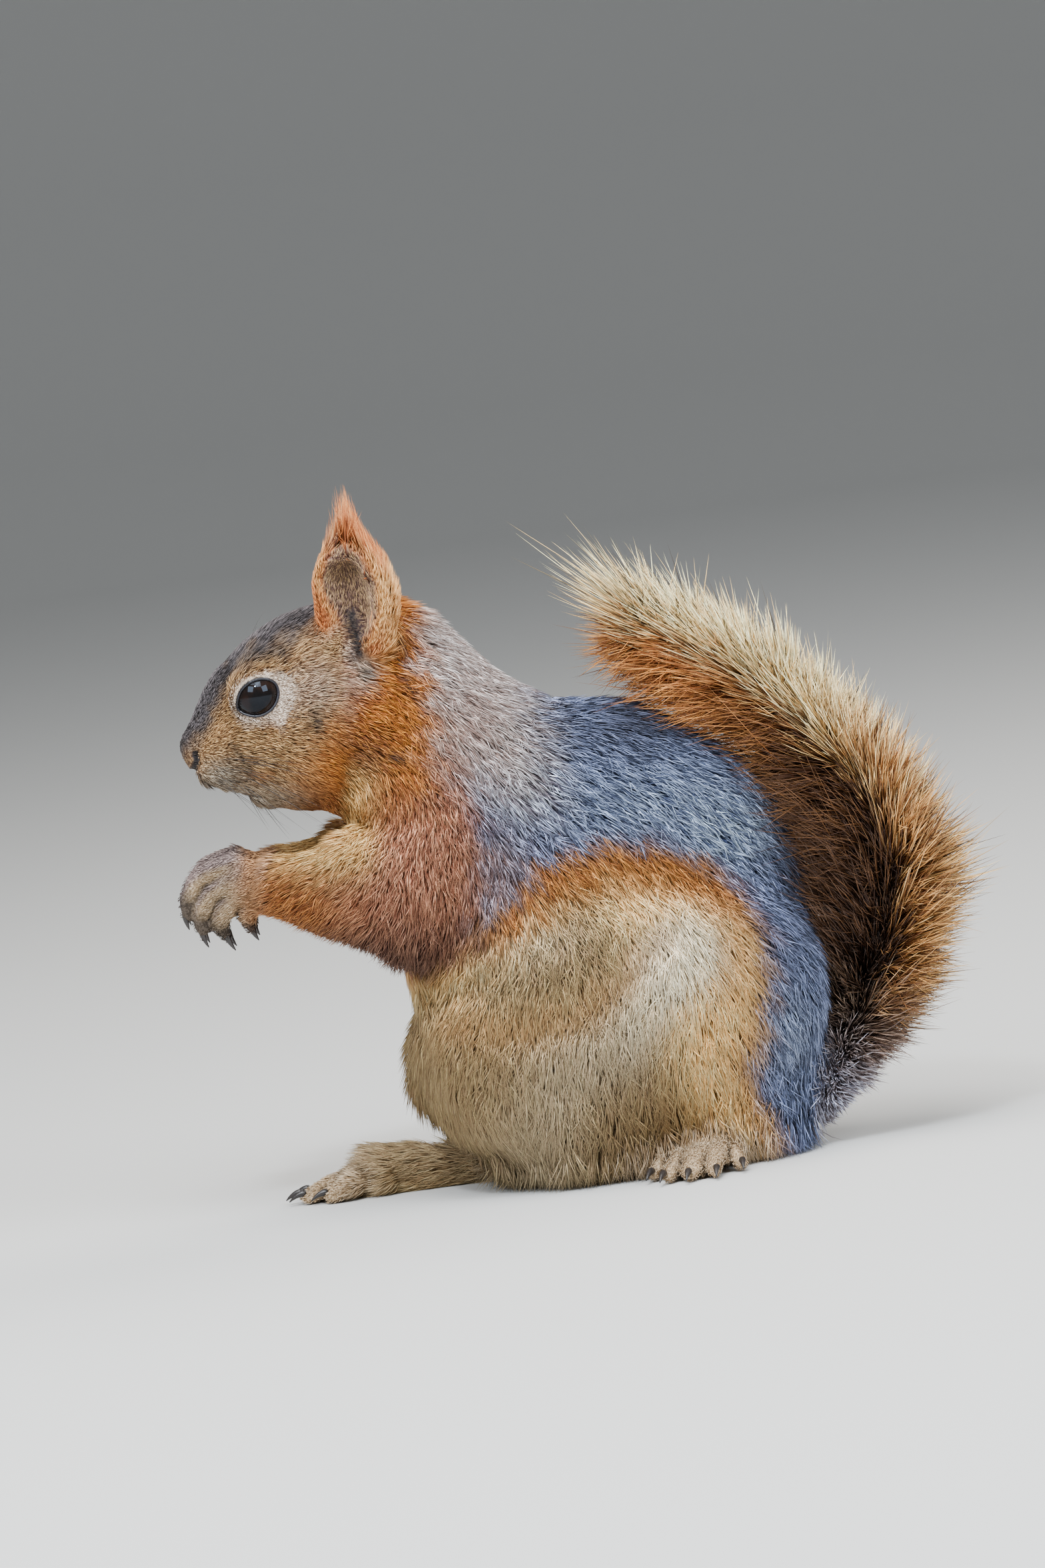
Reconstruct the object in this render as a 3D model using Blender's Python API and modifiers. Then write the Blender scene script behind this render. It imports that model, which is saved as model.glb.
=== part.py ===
"""Life-size still model of a Caucasian squirrel that sits up on its haunches with its hands held forward.

Frame: metres, +Z up, origin on the floor under the middle of the model. The squirrel looks along -X, and
its left side faces -Y. Every surface is the outside of the coat, out to the tips of the hair.

The stations of the body are written in millimetres from the point of the floor below the hips, and
CENTRE_SHIFT moves them to the frame above.
"""

import math
from collections import namedtuple

import bmesh
import bpy
from mathutils import Matrix, Vector

MM = 0.001
CENTRE_SHIFT = Vector((11.6, 1.2, 0.0))  # from the point below the hips to the middle of the model, mm
GAP = 0.3                # clearance along a plane cut between neighbouring nodes, mm
CURVED_GAP = 0.7         # clearance where a node is cut to a rounded neighbour, mm
BODY_VOXEL = 1.5         # mesh size of the fused body, mm
PAW_VOXEL = 0.8          # mesh size of the fused hands and feet, mm
BODY_TRIANGLES = 2600    # of the whole body, before it is parted
HEAD_TRIANGLES = 7000    # the same for the finer mesh that the head and neck are cut from
TAIL_TRIANGLES = 800
PAW_TRIANGLES = 400
EAR_TRIANGLES = 200
CUT_EDGE = 1.6           # shortest edge left along a cut, mm
CUT_ANGLE = 0.6          # faces that meet at more than this, in radians, meet along a cut
DOME_ANGLES = (72, 45, 20)  # the rings of a limb's round end, degrees
LEFT, RIGHT = -1, 1      # side along Y
SIDES = {"left": LEFT, "right": RIGHT}

EYE_CENTRE = (-84.8, 9.6, 133.2)   # of the right eye
EYE_RADIUS = 6.2
FLAT_DEPTH = 0.5         # how much of each sole is cut away to rest on the floor

COLOURS = {
    "grey": (0.23, 0.22, 0.22),
    "orange": (0.55, 0.22, 0.06),
    "buff": (0.62, 0.42, 0.20),
    "rufous": (0.36, 0.13, 0.05),
    "ochre": (0.40, 0.24, 0.11),
    "cream": (0.66, 0.55, 0.40),
    "dark": (0.012, 0.010, 0.010),
    "nose": (0.16, 0.09, 0.07),
}

# A section of the trunk or tail: two points (x, z) of the outline, half the width along Y, and how far the
# widest level lies towards the second point.
Rib = namedtuple("Rib", "name top bottom half_width sag")

TRUNK = (
    Rib("vent", (39, 6), (25, -2.0), 10, 0.0),
    Rib("tail root", (45, 22), (15, -1.0), 20, 0.1),
    Rib("seat", (46.5, 45), (-8, 4), 28, 0.15),
    Rib("haunch", (46, 72), (-34, 6), 32, 0.2),
    Rib("loin", (40, 93), (-54, 16), 32, 0.25),
    Rib("flank", (27, 106), (-60, 37), 29, 0.15),
    Rib("back", (7, 118.5), (-60, 56), 26, 0.1),
    Rib("ribs", (-11, 122), (-61, 71), 24.5, 0.05),
    Rib("shoulders", (-24, 130), (-64, 84), 22.5, 0.0),
    Rib("withers", (-34, 141.5), (-67, 93.5), 20, 0.0),
    Rib("nape", (-42, 149.5), (-70, 98.5), 18.5, 0.0),
    Rib("ears", (-54, 153.5), (-74, 100.3), 18, 0.0),
    Rib("crown", (-67, 152.5), (-79, 101.2), 17.4, 0.0),
    Rib("forehead", (-78, 150), (-84, 102.7), 16.2, -0.05),
    Rib("brow", (-88, 144.5), (-88, 105.7), 14.2, -0.05),
    Rib("bridge", (-95, 139), (-92.5, 108), 11.0, 0.1),
    Rib("snout", (-99.3, 133.3), (-97, 110), 9.0, 0.3),
    Rib("whisker pads", (-102.6, 127.8), (-100.5, 112), 7.4, 0.3),
    Rib("nostrils", (-105, 124.5), (-103.3, 114), 5.0, 0.1),
    Rib("nose tip", (-106.4, 121.8), (-105.6, 117.5), 2.4, 0.0),
)

TAIL = (
    Rib("root", (40, 3), (34, 14), 9, 0.0),
    Rib("rise", (52, 12), (40, 24), 14, 0.0),
    Rib("first bend", (68, 25), (43, 34), 20, 0.0),
    Rib("low", (81, 41), (45, 47), 23, 0.0),
    Rib("outer bend", (87, 57), (45.5, 60), 24.5, 0.0),
    Rib("middle", (87.5, 74), (45.5, 73), 25, 0.0),
    Rib("back of the loin", (82, 90), (43, 84), 25, 0.0),
    Rib("over the loin", (73.5, 104), (37.5, 94.5), 24.5, 0.0),
    Rib("slope", (61, 117.5), (30, 103.5), 24, 0.0),
    Rib("over the back", (46.5, 131.5), (19.5, 111.5), 23, 0.0),
    Rib("upper bend", (32, 142), (10, 118.5), 22, 0.0),
    Rib("upper end", (17, 150.5), (2.5, 126.5), 20, 0.0),
    Rib("brush", (5, 156.5), (-2.5, 136), 16, 0.0),
    Rib("brush end", (-5, 159), (-7.5, 146), 10, 0.0),
    Rib("tip", (-11.5, 159), (-11.5, 153), 3.5, 0.0),
)
TAIL_CUTS = ("first bend", "middle", "slope", "upper bend")  # the ribs where one length ends

# A point of a limb: x, distance from the middle plane, z, and the radius there.
Knot = namedtuple("Knot", "x out z radius")

UPPER_ARM = (
    Knot(-30, 13, 104, 13),
    Knot(-40, 15.5, 90, 14.5),
    Knot(-50, 17, 76, 13.5),
    Knot(-53, 18, 70.5, 12),
)
FOREARM = (
    Knot(-53, 18, 71.5, 12.5),
    Knot(-62, 17.5, 79.5, 14.5),
    Knot(-73, 15, 82, 12.6),
    Knot(-82, 12.5, 83.8, 9.8),
    Knot(-90, 10.5, 86, 8.2),
)
WRIST = Vector((-91.0, 10.3, 86.2))
THIGHS = {
    "left": (Knot(20, 18, 45, 28), Knot(-6, 21, 43, 33), Knot(-28, 20, 36, 27)),
    "right": (Knot(20, 18, 44, 29), Knot(-8, 21, 41, 34), Knot(-38, 19.5, 34, 25)),
}
THIGH_FLATNESS = 0.5     # breadth along Y over height
SHANKS = {
    "left": (Knot(-20, 22, 22, 14), Knot(4, 20, 19, 10.5)),
    "right": (Knot(-50, 21, 28, 14), Knot(-45, 21.5, 14, 9.5)),
}
FINGER_RADII = (3.0, 2.7, 2.4, 1.9)
# Knuckle, joints and tip of each finger, the upper one first: x, distance from the middle plane, z.
FINGERS = (
    ((-96, 10.5, 91.5), (-104.5, 9.5, 89.5), (-109.3, 7.5, 84), (-110, 6.5, 79.5)),
    ((-96, 10.8, 88), (-103.5, 9, 84.5), (-107, 7, 79), (-106.5, 5.8, 74.5)),
    ((-95, 10.5, 84.5), (-100, 8.5, 80.5), (-101.8, 6.5, 76), (-100.5, 5.5, 72.5)),
    ((-92, 9.5, 82), (-94.2, 8.2, 79), (-94.6, 7.2, 76), (-94, 6.5, 73.5)),
)
# Toes, from the inner to the outer: sideways place of the knuckle and of the tip, and where the tip ends.
TOES = ((5.2, 8.6, 44.5), (2.6, 4.6, 51.0), (0.0, 0.2, 52.0), (-2.6, -4.4, 50.5), (-5.0, -8.6, 43.0))
KNUCKLES = 30.0          # from the heel to the knuckles
FEET = {                 # heel (x, y), turn of the toes from straight ahead in degrees, and their spread
    "left": ((16.0, 11.0), 78.0, 1.3),
    "right": ((-41.5, 19.5), -4.0, 1.0),
}

EAR = (                  # centre x, out, z, half the breadth of the ear and half its depth
    (-57.5, 11.0, 133.0, 6.0, 4.5),
    (-57.6, 13.0, 141.0, 10.0, 6.2),
    (-57.7, 14.4, 149.0, 11.0, 6.6),
    (-57.9, 15.4, 157.0, 10.2, 6.0),
    (-58.2, 16.1, 163.5, 8.0, 4.9),
    (-58.4, 16.5, 169.0, 5.4, 3.6),
    (-57.8, 16.8, 175.0, 3.0, 2.2),
    (-57.0, 16.9, 181.0, 1.0, 0.8),
)
EAR_TURN = 28.0          # how far the hollow of the ear faces forward from straight out, degrees
CONCHA_OFFSET = 7.6      # from the middle of the ear to the middle of its hollow
CONCHA_RADII = (7.2, 6.8, 16.5)
CONCHA_LEVEL = 150.5

# Outline, in the middle plane, of the region that becomes head and neck.
HEAD_REGION = ((-130, 99.2), (-52, 99.2), (-14, 125), (-14, 200), (-130, 200))


# ---------------------------------------------------------------- meshes

def empty_scene():
    for obj in list(bpy.data.objects):
        bpy.data.objects.remove(obj, do_unlink=True)


def collection(name):
    group = bpy.data.collections.new(name)
    bpy.context.scene.collection.children.link(group)
    return group


def to_frame(point):
    """Metres in the model's frame, from millimetres about the point below the hips."""
    return (Vector(point) + CENTRE_SHIFT) * MM


def new_object(name, bm):
    bmesh.ops.recalc_face_normals(bm, faces=bm.faces)
    mesh = bpy.data.meshes.new(name)
    bm.to_mesh(mesh)
    bm.free()
    obj = bpy.data.objects.new(name, mesh)
    bpy.context.scene.collection.objects.link(obj)
    return obj


def rounded(values, s):
    """Catmull-Rom curve through the values, at the parameter s counted in values."""
    last = len(values) - 1
    i = min(int(s), last - 1)
    t = s - i
    before, a = values[max(i - 1, 0)], values[i]
    b, after = values[i + 1], values[min(i + 2, last)]
    return 0.5 * (
        2 * a + (b - before) * t
        + (2 * before - 5 * a + 4 * b - after) * t ** 2
        + (3 * a - before - 3 * b + after) * t ** 3
    )


def skin_rings(name, rings):
    """One closed body over a row of rings, with a point at each end."""
    bm = bmesh.new()
    rows = [[bm.verts.new(to_frame(p)) for p in ring] for ring in rings]
    sides = len(rings[0])
    for row, after in zip(rows, rows[1:]):
        for i in range(sides):
            j = (i + 1) % sides
            bm.faces.new((row[i], row[j], after[j], after[i]))
    for row, ring in ((rows[0], rings[0]), (rows[-1], rings[-1])):
        pole = bm.verts.new(to_frame(sum(ring, Vector()) / sides))
        for i in range(sides):
            bm.faces.new((row[i], row[(i + 1) % sides], pole))
    return new_object(name, bm)


def rib_ring(top, bottom, half_width, sag, sides):
    """Egg-shaped section between two outline points, widest below the middle by sag."""
    middle = (top + bottom) / 2
    half = (top - bottom) / 2
    ring = []
    for k in range(sides):
        angle = math.tau * k / sides
        level = math.sin(angle)
        shifted = level + sag * (1 - level ** 2)
        breadth = math.sqrt(max(0.0, 1 - shifted ** 2)) * math.copysign(1, math.cos(angle))
        ring.append(middle + half * level + Vector((0, half_width * breadth, 0)))
    return ring


def loft(name, ribs, sides=28, steps=4):
    """Smooth body through ribs that stand in the middle plane."""
    tops = [Vector((r.top[0], 0, r.top[1])) for r in ribs]
    bottoms = [Vector((r.bottom[0], 0, r.bottom[1])) for r in ribs]
    widths = [r.half_width for r in ribs]
    sags = [r.sag for r in ribs]
    count = (len(ribs) - 1) * steps
    rings = []
    for k in range(count + 1):
        s = k / steps
        outline = (rounded(tops, s), rounded(bottoms, s))
        rings.append(rib_ring(*outline, rounded(widths, s), rounded(sags, s), sides))
    return skin_rings(name, rings)


def limb(name, knots, side=1, flatness=1.0, sides=14, steps=4):
    """Round-ended limb through the knots; flatness is its breadth along Y over its height."""
    centres = [Vector((k.x, k.out * side, k.z)) for k in knots]
    radii = [k.radius for k in knots]
    stations = []
    for k in range((len(knots) - 1) * steps + 1):
        s = k / steps
        stations.append((rounded(centres, s), rounded(radii, s)))
    stations = dome(stations[0], stations[1]) + stations + dome(stations[-1], stations[-2])[::-1]
    rings = []
    for i, (centre, radius) in enumerate(stations):
        ahead = stations[min(i + 1, len(stations) - 1)][0] - stations[max(i - 1, 0)][0]
        across = Vector((0, 1, 0))
        across = (across - ahead * (across.dot(ahead) / ahead.length_squared)).normalized()
        up = ahead.cross(across).normalized()
        ring = []
        for k in range(sides):
            angle = math.tau * k / sides
            ring.append(centre + across * radius * flatness * math.cos(angle) + up * radius * math.sin(angle))
        rings.append(ring)
    return skin_rings(name, rings)


def dome(end, beside):
    """Stations of the round end beyond a limb's last station, the outermost first."""
    centre, radius = end
    outward = (centre - beside[0]).normalized()
    angles = [math.radians(a) for a in DOME_ANGLES]
    return [(centre + outward * radius * math.sin(a), radius * math.cos(a)) for a in angles]


def ellipsoid(name, centre, radii, turn=0.0, axis="Y"):
    """Ellipsoid, turned about an axis by some degrees."""
    bm = bmesh.new()
    bmesh.ops.create_uvsphere(bm, u_segments=20, v_segments=14, radius=1.0)
    place = Matrix.Translation(to_frame(centre)) @ Matrix.Rotation(math.radians(turn), 4, axis)
    bm.transform(place @ Matrix.Diagonal((*(Vector(radii) * MM), 1.0)))
    return new_object(name, bm)


# ---------------------------------------------------------------- modelling steps

def frozen(obj):
    """Replace the object's mesh by what its modifiers make of it."""
    graph = bpy.context.evaluated_depsgraph_get()
    mesh = bpy.data.meshes.new_from_object(obj.evaluated_get(graph))
    obj.modifiers.clear()
    obj.data = mesh
    return obj


def joined(name, objects):
    """One object with the meshes of all of them."""
    bm = bmesh.new()
    for obj in objects:
        bm.from_mesh(obj.data)
        bpy.data.objects.remove(obj, do_unlink=True)
    return new_object(name, bm)


def fused(obj, voxel, smoothing):
    """Fuse overlapping masses to one skin and soften the creases between them."""
    remesh = obj.modifiers.new("fuse", "REMESH")
    remesh.mode = "VOXEL"
    remesh.voxel_size = voxel * MM
    soften = obj.modifiers.new("soften", "SMOOTH")
    soften.factor = 0.5
    soften.iterations = smoothing
    return frozen(obj)


def thinned(obj, triangles):
    obj.data.calc_loop_triangles()
    thin = obj.modifiers.new("thin", "DECIMATE")
    thin.ratio = min(1.0, triangles / len(obj.data.loop_triangles))
    thin.use_collapse_triangulate = True
    return frozen(obj)


def copied(obj, name):
    twin = bpy.data.objects.new(name, obj.data.copy())
    bpy.context.scene.collection.objects.link(twin)
    return twin


def grown(obj, margin):
    """Copy of a mesh, moved outwards by the margin in millimetres."""
    twin = copied(obj, obj.name + "_grown")
    normals = [v.normal.copy() for v in twin.data.vertices]
    for vertex, normal in zip(twin.data.vertices, normals):
        vertex.co += normal * margin * MM
    return twin


def boolean(obj, other, operation):
    step = obj.modifiers.new(operation.lower(), "BOOLEAN")
    step.operation = operation
    step.solver = "EXACT"
    step.object = other
    frozen(obj)
    return obj


def cut_away(obj, cutter):
    """Take the cutter, grown by the clearance, out of the object."""
    tool = grown(cutter, CURVED_GAP)
    boolean(obj, tool, "DIFFERENCE")
    bpy.data.objects.remove(tool, do_unlink=True)
    return obj


def prism(name, outline, near, far, margin=0.0):
    """Flat outline in the XZ plane, run along Y between two distances and grown by the margin."""
    points = [Vector((x, z)) for x, z in outline]
    turn = sum(a.x * b.y - b.x * a.y for a, b in zip(points, points[1:] + points[:1]))
    if turn < 0:
        points.reverse()
    moved = []
    for before, here, after in zip(points[-1:] + points[:-1], points, points[1:] + points[:1]):
        first = (here - before).normalized()
        second = (after - here).normalized()
        corner = Vector((first.y + second.y, -first.x - second.x))
        moved.append(here + corner * (margin / max(0.2, 1 + first.dot(second))))
    bm = bmesh.new()
    floor = [bm.verts.new(to_frame((p.x, near - margin, p.y))) for p in moved]
    lid = [bm.verts.new(to_frame((p.x, far + margin, p.y))) for p in moved]
    bm.faces.new(floor)
    bm.faces.new(lid)
    for i in range(len(moved)):
        j = (i + 1) % len(moved)
        bm.faces.new((floor[i], floor[j], lid[j], lid[i]))
    return new_object(name, bm)


def parted(body, name, outline, near=-60.0, far=60.0):
    """Cut the piece inside a prism off the body, with a thin gap between them, and return it."""
    piece = copied(body, name)
    for obj, operation, margin in ((piece, "INTERSECT", 0.0), (body, "DIFFERENCE", GAP)):
        tool = prism(name + "_cut", outline, near, far, margin)
        boolean(obj, tool, operation)
        bpy.data.objects.remove(tool, do_unlink=True)
    return piece


def collapse_short_edges(bm):
    """Merge the ends of each short edge along a cut, where the mesh stays closed."""
    short = [e for e in bm.edges if e.is_manifold and e.calc_length() < CUT_EDGE * MM]
    sharp = [e for e in short if e.calc_face_angle() > CUT_ANGLE or e.calc_length() < 0.05 * MM]
    for edge in sorted(sharp, key=lambda e: e.calc_length()):
        if not edge.is_valid:
            continue
        a, b = edge.verts
        shared = {e.other_vert(a) for e in a.link_edges} & {e.other_vert(b) for e in b.link_edges}
        if len(shared) == 2 and edge.calc_length() < CUT_EDGE * MM:
            bmesh.ops.pointmerge(bm, verts=[a, b], merge_co=(a.co + b.co) / 2)


def largest_piece(obj):
    """Drop the crumbs that a cut can leave beside the main piece, and close up short edges along cuts."""
    bm = bmesh.new()
    bm.from_mesh(obj.data)
    bmesh.ops.remove_doubles(bm, verts=bm.verts, dist=0.002 * MM)
    bmesh.ops.triangulate(bm, faces=bm.faces)
    for _ in range(3):
        collapse_short_edges(bm)
    left = set(bm.verts)
    islands = []
    while left:
        island = {left.pop()}
        edge = set(island)
        while edge:
            edge = {e.other_vert(v) for v in edge for e in v.link_edges} - island
            island |= edge
        left -= island
        islands.append(island)
    islands.sort(key=len)
    for island in islands[:-1]:
        bmesh.ops.delete(bm, geom=list(island), context="VERTS")
    bm.to_mesh(obj.data)
    bm.free()
    return obj


def finished(obj, group, colour, roughness=0.9):
    """Name the mesh, move the object to the model's collection and give it its own material."""
    largest_piece(obj)
    obj.data.name = obj.name
    for home in list(obj.users_collection):
        home.objects.unlink(obj)
    group.objects.link(obj)
    obj.data.shade_smooth()
    material = bpy.data.materials.new(obj.name)
    material.use_nodes = True
    shader = material.node_tree.nodes["Principled BSDF"]
    shader.inputs["Base Color"].default_value = (*COLOURS[colour], 1.0)
    shader.inputs["Roughness"].default_value = roughness
    shader.inputs["Metallic"].default_value = 0.0
    obj.data.materials.clear()
    obj.data.materials.append(material)
    return obj


# ---------------------------------------------------------------- the squirrel

def body_masses():
    """Trunk, neck, head and limbs down to the wrists and ankles, fused to one closed skin."""
    masses = [loft("trunk", TRUNK)]
    for label, side in SIDES.items():
        masses.append(limb("upper_arm_mass", UPPER_ARM, side, 0.72))
        masses.append(limb("forearm_mass", FOREARM, side, 0.74))
        masses.append(limb("thigh_mass", THIGHS[label], side, THIGH_FLATNESS, sides=20))
        masses.append(limb("shank_mass", SHANKS[label], side, 0.8))
        masses.append(ellipsoid("cheek", (-71, 11.0 * side, 117.5), (13, 8.0, 12.0), 20))
        masses.append(ellipsoid("brow_ridge", (-84, 8.5 * side, 138.5), (9, 5.5, 4.6), -22))
        masses.append(ellipsoid("ear_root", (-58.5, 11.5 * side, 141), (8.5, 5.5, 8)))
        masses.append(ellipsoid("whisker_pad", (-98.5, 4.2 * side, 114.8), (5.6, 4.6, 4.6), 15))
    masses.append(ellipsoid("chin", (-87.5, 0, 107.5), (7.5, 5.5, 4.6), 12))
    return fused(joined("body", masses), BODY_VOXEL, 6)


def hand(label):
    """Palm and four fingers that curl down and inwards."""
    side = SIDES[label]
    palm = (
        Knot(WRIST.x, WRIST.y, WRIST.z, 6.6),
        Knot(-95, 10.2, 87.2, 6.2),
        Knot(-98, 9.8, 87, 5.2),
    )
    masses = [limb("palm", palm, side, 0.62)]
    for finger in FINGERS:
        knots = [Knot(*place, radius) for place, radius in zip(finger, FINGER_RADII)]
        masses.append(limb("finger", knots, side, sides=10))
    return thinned(fused(joined("hand_" + label, masses), PAW_VOXEL, 3), PAW_TRIANGLES)


def foot(label):
    """Long hind foot: heel, sole and five spread toes, flat on the floor."""
    side = SIDES[label]
    heel, turn, spread = FEET[label]
    sole = (Knot(0, 0, 5.2, 5.2), Knot(-14, 0, 5.2, 5.4), Knot(-KNUCKLES, 0, 5.9, 6.0))
    masses = [limb("sole", sole)]
    for knuckle, tip, reach in TOES:
        toe = (
            Knot(-KNUCKLES + 3, knuckle * 0.8, 5.6, 3.6),
            Knot(-(KNUCKLES + reach) / 2, (knuckle + tip * spread) * side * -0.5, 4.8, 3.0),
            Knot(-reach + 2.0, tip * spread * side * -1.0, 2.0, 2.2),
        )
        masses.append(limb("toe", toe, sides=10))
    paw = joined("foot_" + label, masses)
    place = Matrix.Translation(Vector((*heel, -FLAT_DEPTH)) * MM)
    place = place @ Matrix.Rotation(math.radians(turn), 4, "Z")
    centre = Matrix.Translation(CENTRE_SHIFT * MM)
    paw.data.transform(centre @ place @ centre.inverted())
    return level_base(thinned(fused(paw, PAW_VOXEL, 2), PAW_TRIANGLES))


def level_base(obj):
    """Cut the object level with the floor."""
    below = prism("floor", ((-150, -40), (150, -40), (150, 0), (-150, 0)), -80, 80)
    boolean(obj, below, "DIFFERENCE")
    bpy.data.objects.remove(below, do_unlink=True)
    return obj


def ear(label):
    """Upright ear with its tuft, hollowed from the outer side."""
    side = SIDES[label]
    turn = math.radians(EAR_TURN)
    outward = Vector((-math.sin(turn), math.cos(turn) * side, 0))
    breadthwise = Vector((math.cos(turn), math.sin(turn) * side, 0))
    centres = [Vector((x, out * side, z)) for x, out, z, _, _ in EAR]
    halves = [Vector((breadth, depth, 0)) for _, _, _, breadth, depth in EAR]
    rings = []
    steps = 3
    for k in range((len(EAR) - 1) * steps + 1):
        centre = rounded(centres, k / steps)
        half = rounded(halves, k / steps)
        angles = [math.tau * i / 16 for i in range(16)]
        rings.append([
            centre + breadthwise * half.x * math.cos(a) + outward * half.y * math.sin(a) for a in angles
        ])
    shell = skin_rings("ear_" + label, rings)
    middle = centres[2] + outward * CONCHA_OFFSET
    middle.z = CONCHA_LEVEL
    hollow = ellipsoid("concha", middle, CONCHA_RADII, EAR_TURN * side, "Z")
    boolean(shell, hollow, "DIFFERENCE")
    bpy.data.objects.remove(hollow, do_unlink=True)
    return thinned(shell, EAR_TRIANGLES)


def eye(label):
    x, out, z = EYE_CENTRE
    bm = bmesh.new()
    bmesh.ops.create_uvsphere(bm, u_segments=10, v_segments=7, radius=EYE_RADIUS * MM)
    bm.transform(Matrix.Translation(to_frame((x, out * SIDES[label], z))))
    return new_object("eye_" + label, bm)


def tail_lengths(body):
    """The tail in five lengths, each cut clear of the body."""
    whole = thinned(fused(loft("tail", TAIL), BODY_VOXEL, 3), TAIL_TRIANGLES)
    level_base(whole)
    cut_away(whole, body)
    lengths = []
    names = [rib.name for rib in TAIL]
    for number, cut in enumerate(TAIL_CUTS, start=1):
        rib = TAIL[names.index(cut)]
        before = TAIL[names.index(cut) - 1]
        lengths.append(parted_by_rib(whole, "tail_%d" % number, rib, before))
    whole.name = "tail_%d" % (len(TAIL_CUTS) + 1)
    return lengths + [whole]


def parted_by_rib(obj, name, rib, before):
    """Cut off what lies on the near side of a rib's plane."""
    outer, inner = Vector(rib.top), Vector(rib.bottom)
    along = (outer - inner).normalized()
    back = (Vector(before.top) + Vector(before.bottom) - outer - inner).normalized()
    back = (back - along * back.dot(along)).normalized()
    beyond_outer = outer + along * 60
    beyond_inner = inner - along * 60
    reach = back * 150
    outline = (beyond_outer, beyond_inner, beyond_inner + reach, beyond_outer + reach)
    return parted(obj, name, [(p.x, p.y) for p in outline])


def head_pieces(fine_body):
    """Part the head and neck, which take the finer mesh."""
    head = parted(fine_body, "head", HEAD_REGION)
    bpy.data.objects.remove(fine_body, do_unlink=True)
    neck = parted(head, "neck", ((-70, 90), (-48, 200), (40, 200), (40, 90)))
    nose = parted(head, "nose", ((-130, 113.2), (-103, 113.2), (-104, 140), (-130, 140)))
    jaw = parted(head, "lower_jaw", ((-130, 60), (-74, 60), (-74, 106.5), (-130, 113)))
    muzzle = parted(head, "muzzle", ((-130, 90), (-93, 90), (-93.5, 200), (-130, 200)))
    return [(neck, "orange"), (nose, "nose"), (jaw, "cream"), (muzzle, "ochre"), (head, "ochre")]


def body_pieces(body):
    """Part the body below the neck into its nodes."""
    edge = 60
    tool = prism("head_cut", HEAD_REGION, -edge, edge, GAP)
    boolean(body, tool, "DIFFERENCE")
    bpy.data.objects.remove(tool, do_unlink=True)
    forearm = ((-130, 99.2), (-66, 99.2), (-57, 45), (-130, 45))
    pieces = [
        (parted(body, "forearm_left", forearm, -edge, 0), "rufous"),
        (parted(body, "forearm_right", forearm, 0.3, edge), "rufous"),
    ]
    arm = ((-75, 50), (-34, 60), (-20, 108), (-50, 120), (-75, 100))
    pieces.append((parted(body, "upper_arm_left", arm, -edge, -13), "rufous"))
    pieces.append((parted(body, "upper_arm_right", arm, 13, edge), "rufous"))
    thigh = ((-75, -5), (32, -5), (32, 76), (-30, 76), (-75, 60))
    pieces.append((parted(body, "thigh_left", thigh, -edge, -19), "buff"))
    pieces.append((parted(body, "thigh_right", thigh, 19, edge), "buff"))
    pieces.append((parted(body, "rump", ((10, -5), (80, -5), (80, 85), (10, 85))), "grey"))
    pieces.append((parted(body, "belly", ((-80, -5), (40, -5), (40, 66), (-80, 66))), "buff"))
    pieces.append((body, "grey"))
    return pieces


def build():
    empty_scene()
    group = collection("caucasian_squirrel")
    dense = body_masses()
    body = level_base(thinned(copied(dense, "chest"), BODY_TRIANGLES))
    fine_body = thinned(dense, HEAD_TRIANGLES)
    eyes = [eye(label) for label in SIDES]
    feet = [foot(label) for label in SIDES]
    hands = [hand(label) for label in SIDES]
    for neighbour in eyes:
        cut_away(fine_body, neighbour)
    for neighbour in feet + hands:
        cut_away(body, neighbour)
    tail = tail_lengths(body)
    ears = [ear(label) for label in SIDES]
    for shell in ears:
        cut_away(shell, fine_body)
    for piece, colour in head_pieces(fine_body) + body_pieces(body):
        finished(piece, group, colour)
    for piece in feet + hands:
        finished(piece, group, "ochre")
    for piece in ears:
        finished(piece, group, "orange")
    for piece in tail:
        finished(piece, group, "ochre")
    for piece in eyes:
        finished(piece, group, "dark", 0.05)


build()
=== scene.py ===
"""Looks of the life-size Caucasian squirrel: skin, coat, eyes, whiskers, claws and the stage they stand on.

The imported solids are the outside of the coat. The skin lies inside them by the depth of the coat, and tufts
of hair stand on it and lie along the body. Places are written in millimetres about the point of the floor
below the hips: x along the body, out from the middle plane, z up. HIPS moves them to the model's frame.
"""

import math

import bmesh
import bpy
import numpy as np
from bpy.props import FloatProperty, FloatVectorProperty, IntProperty, PointerProperty
from mathutils import Matrix, Vector
from mathutils.bvhtree import BVHTree
from mathutils.kdtree import KDTree


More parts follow.
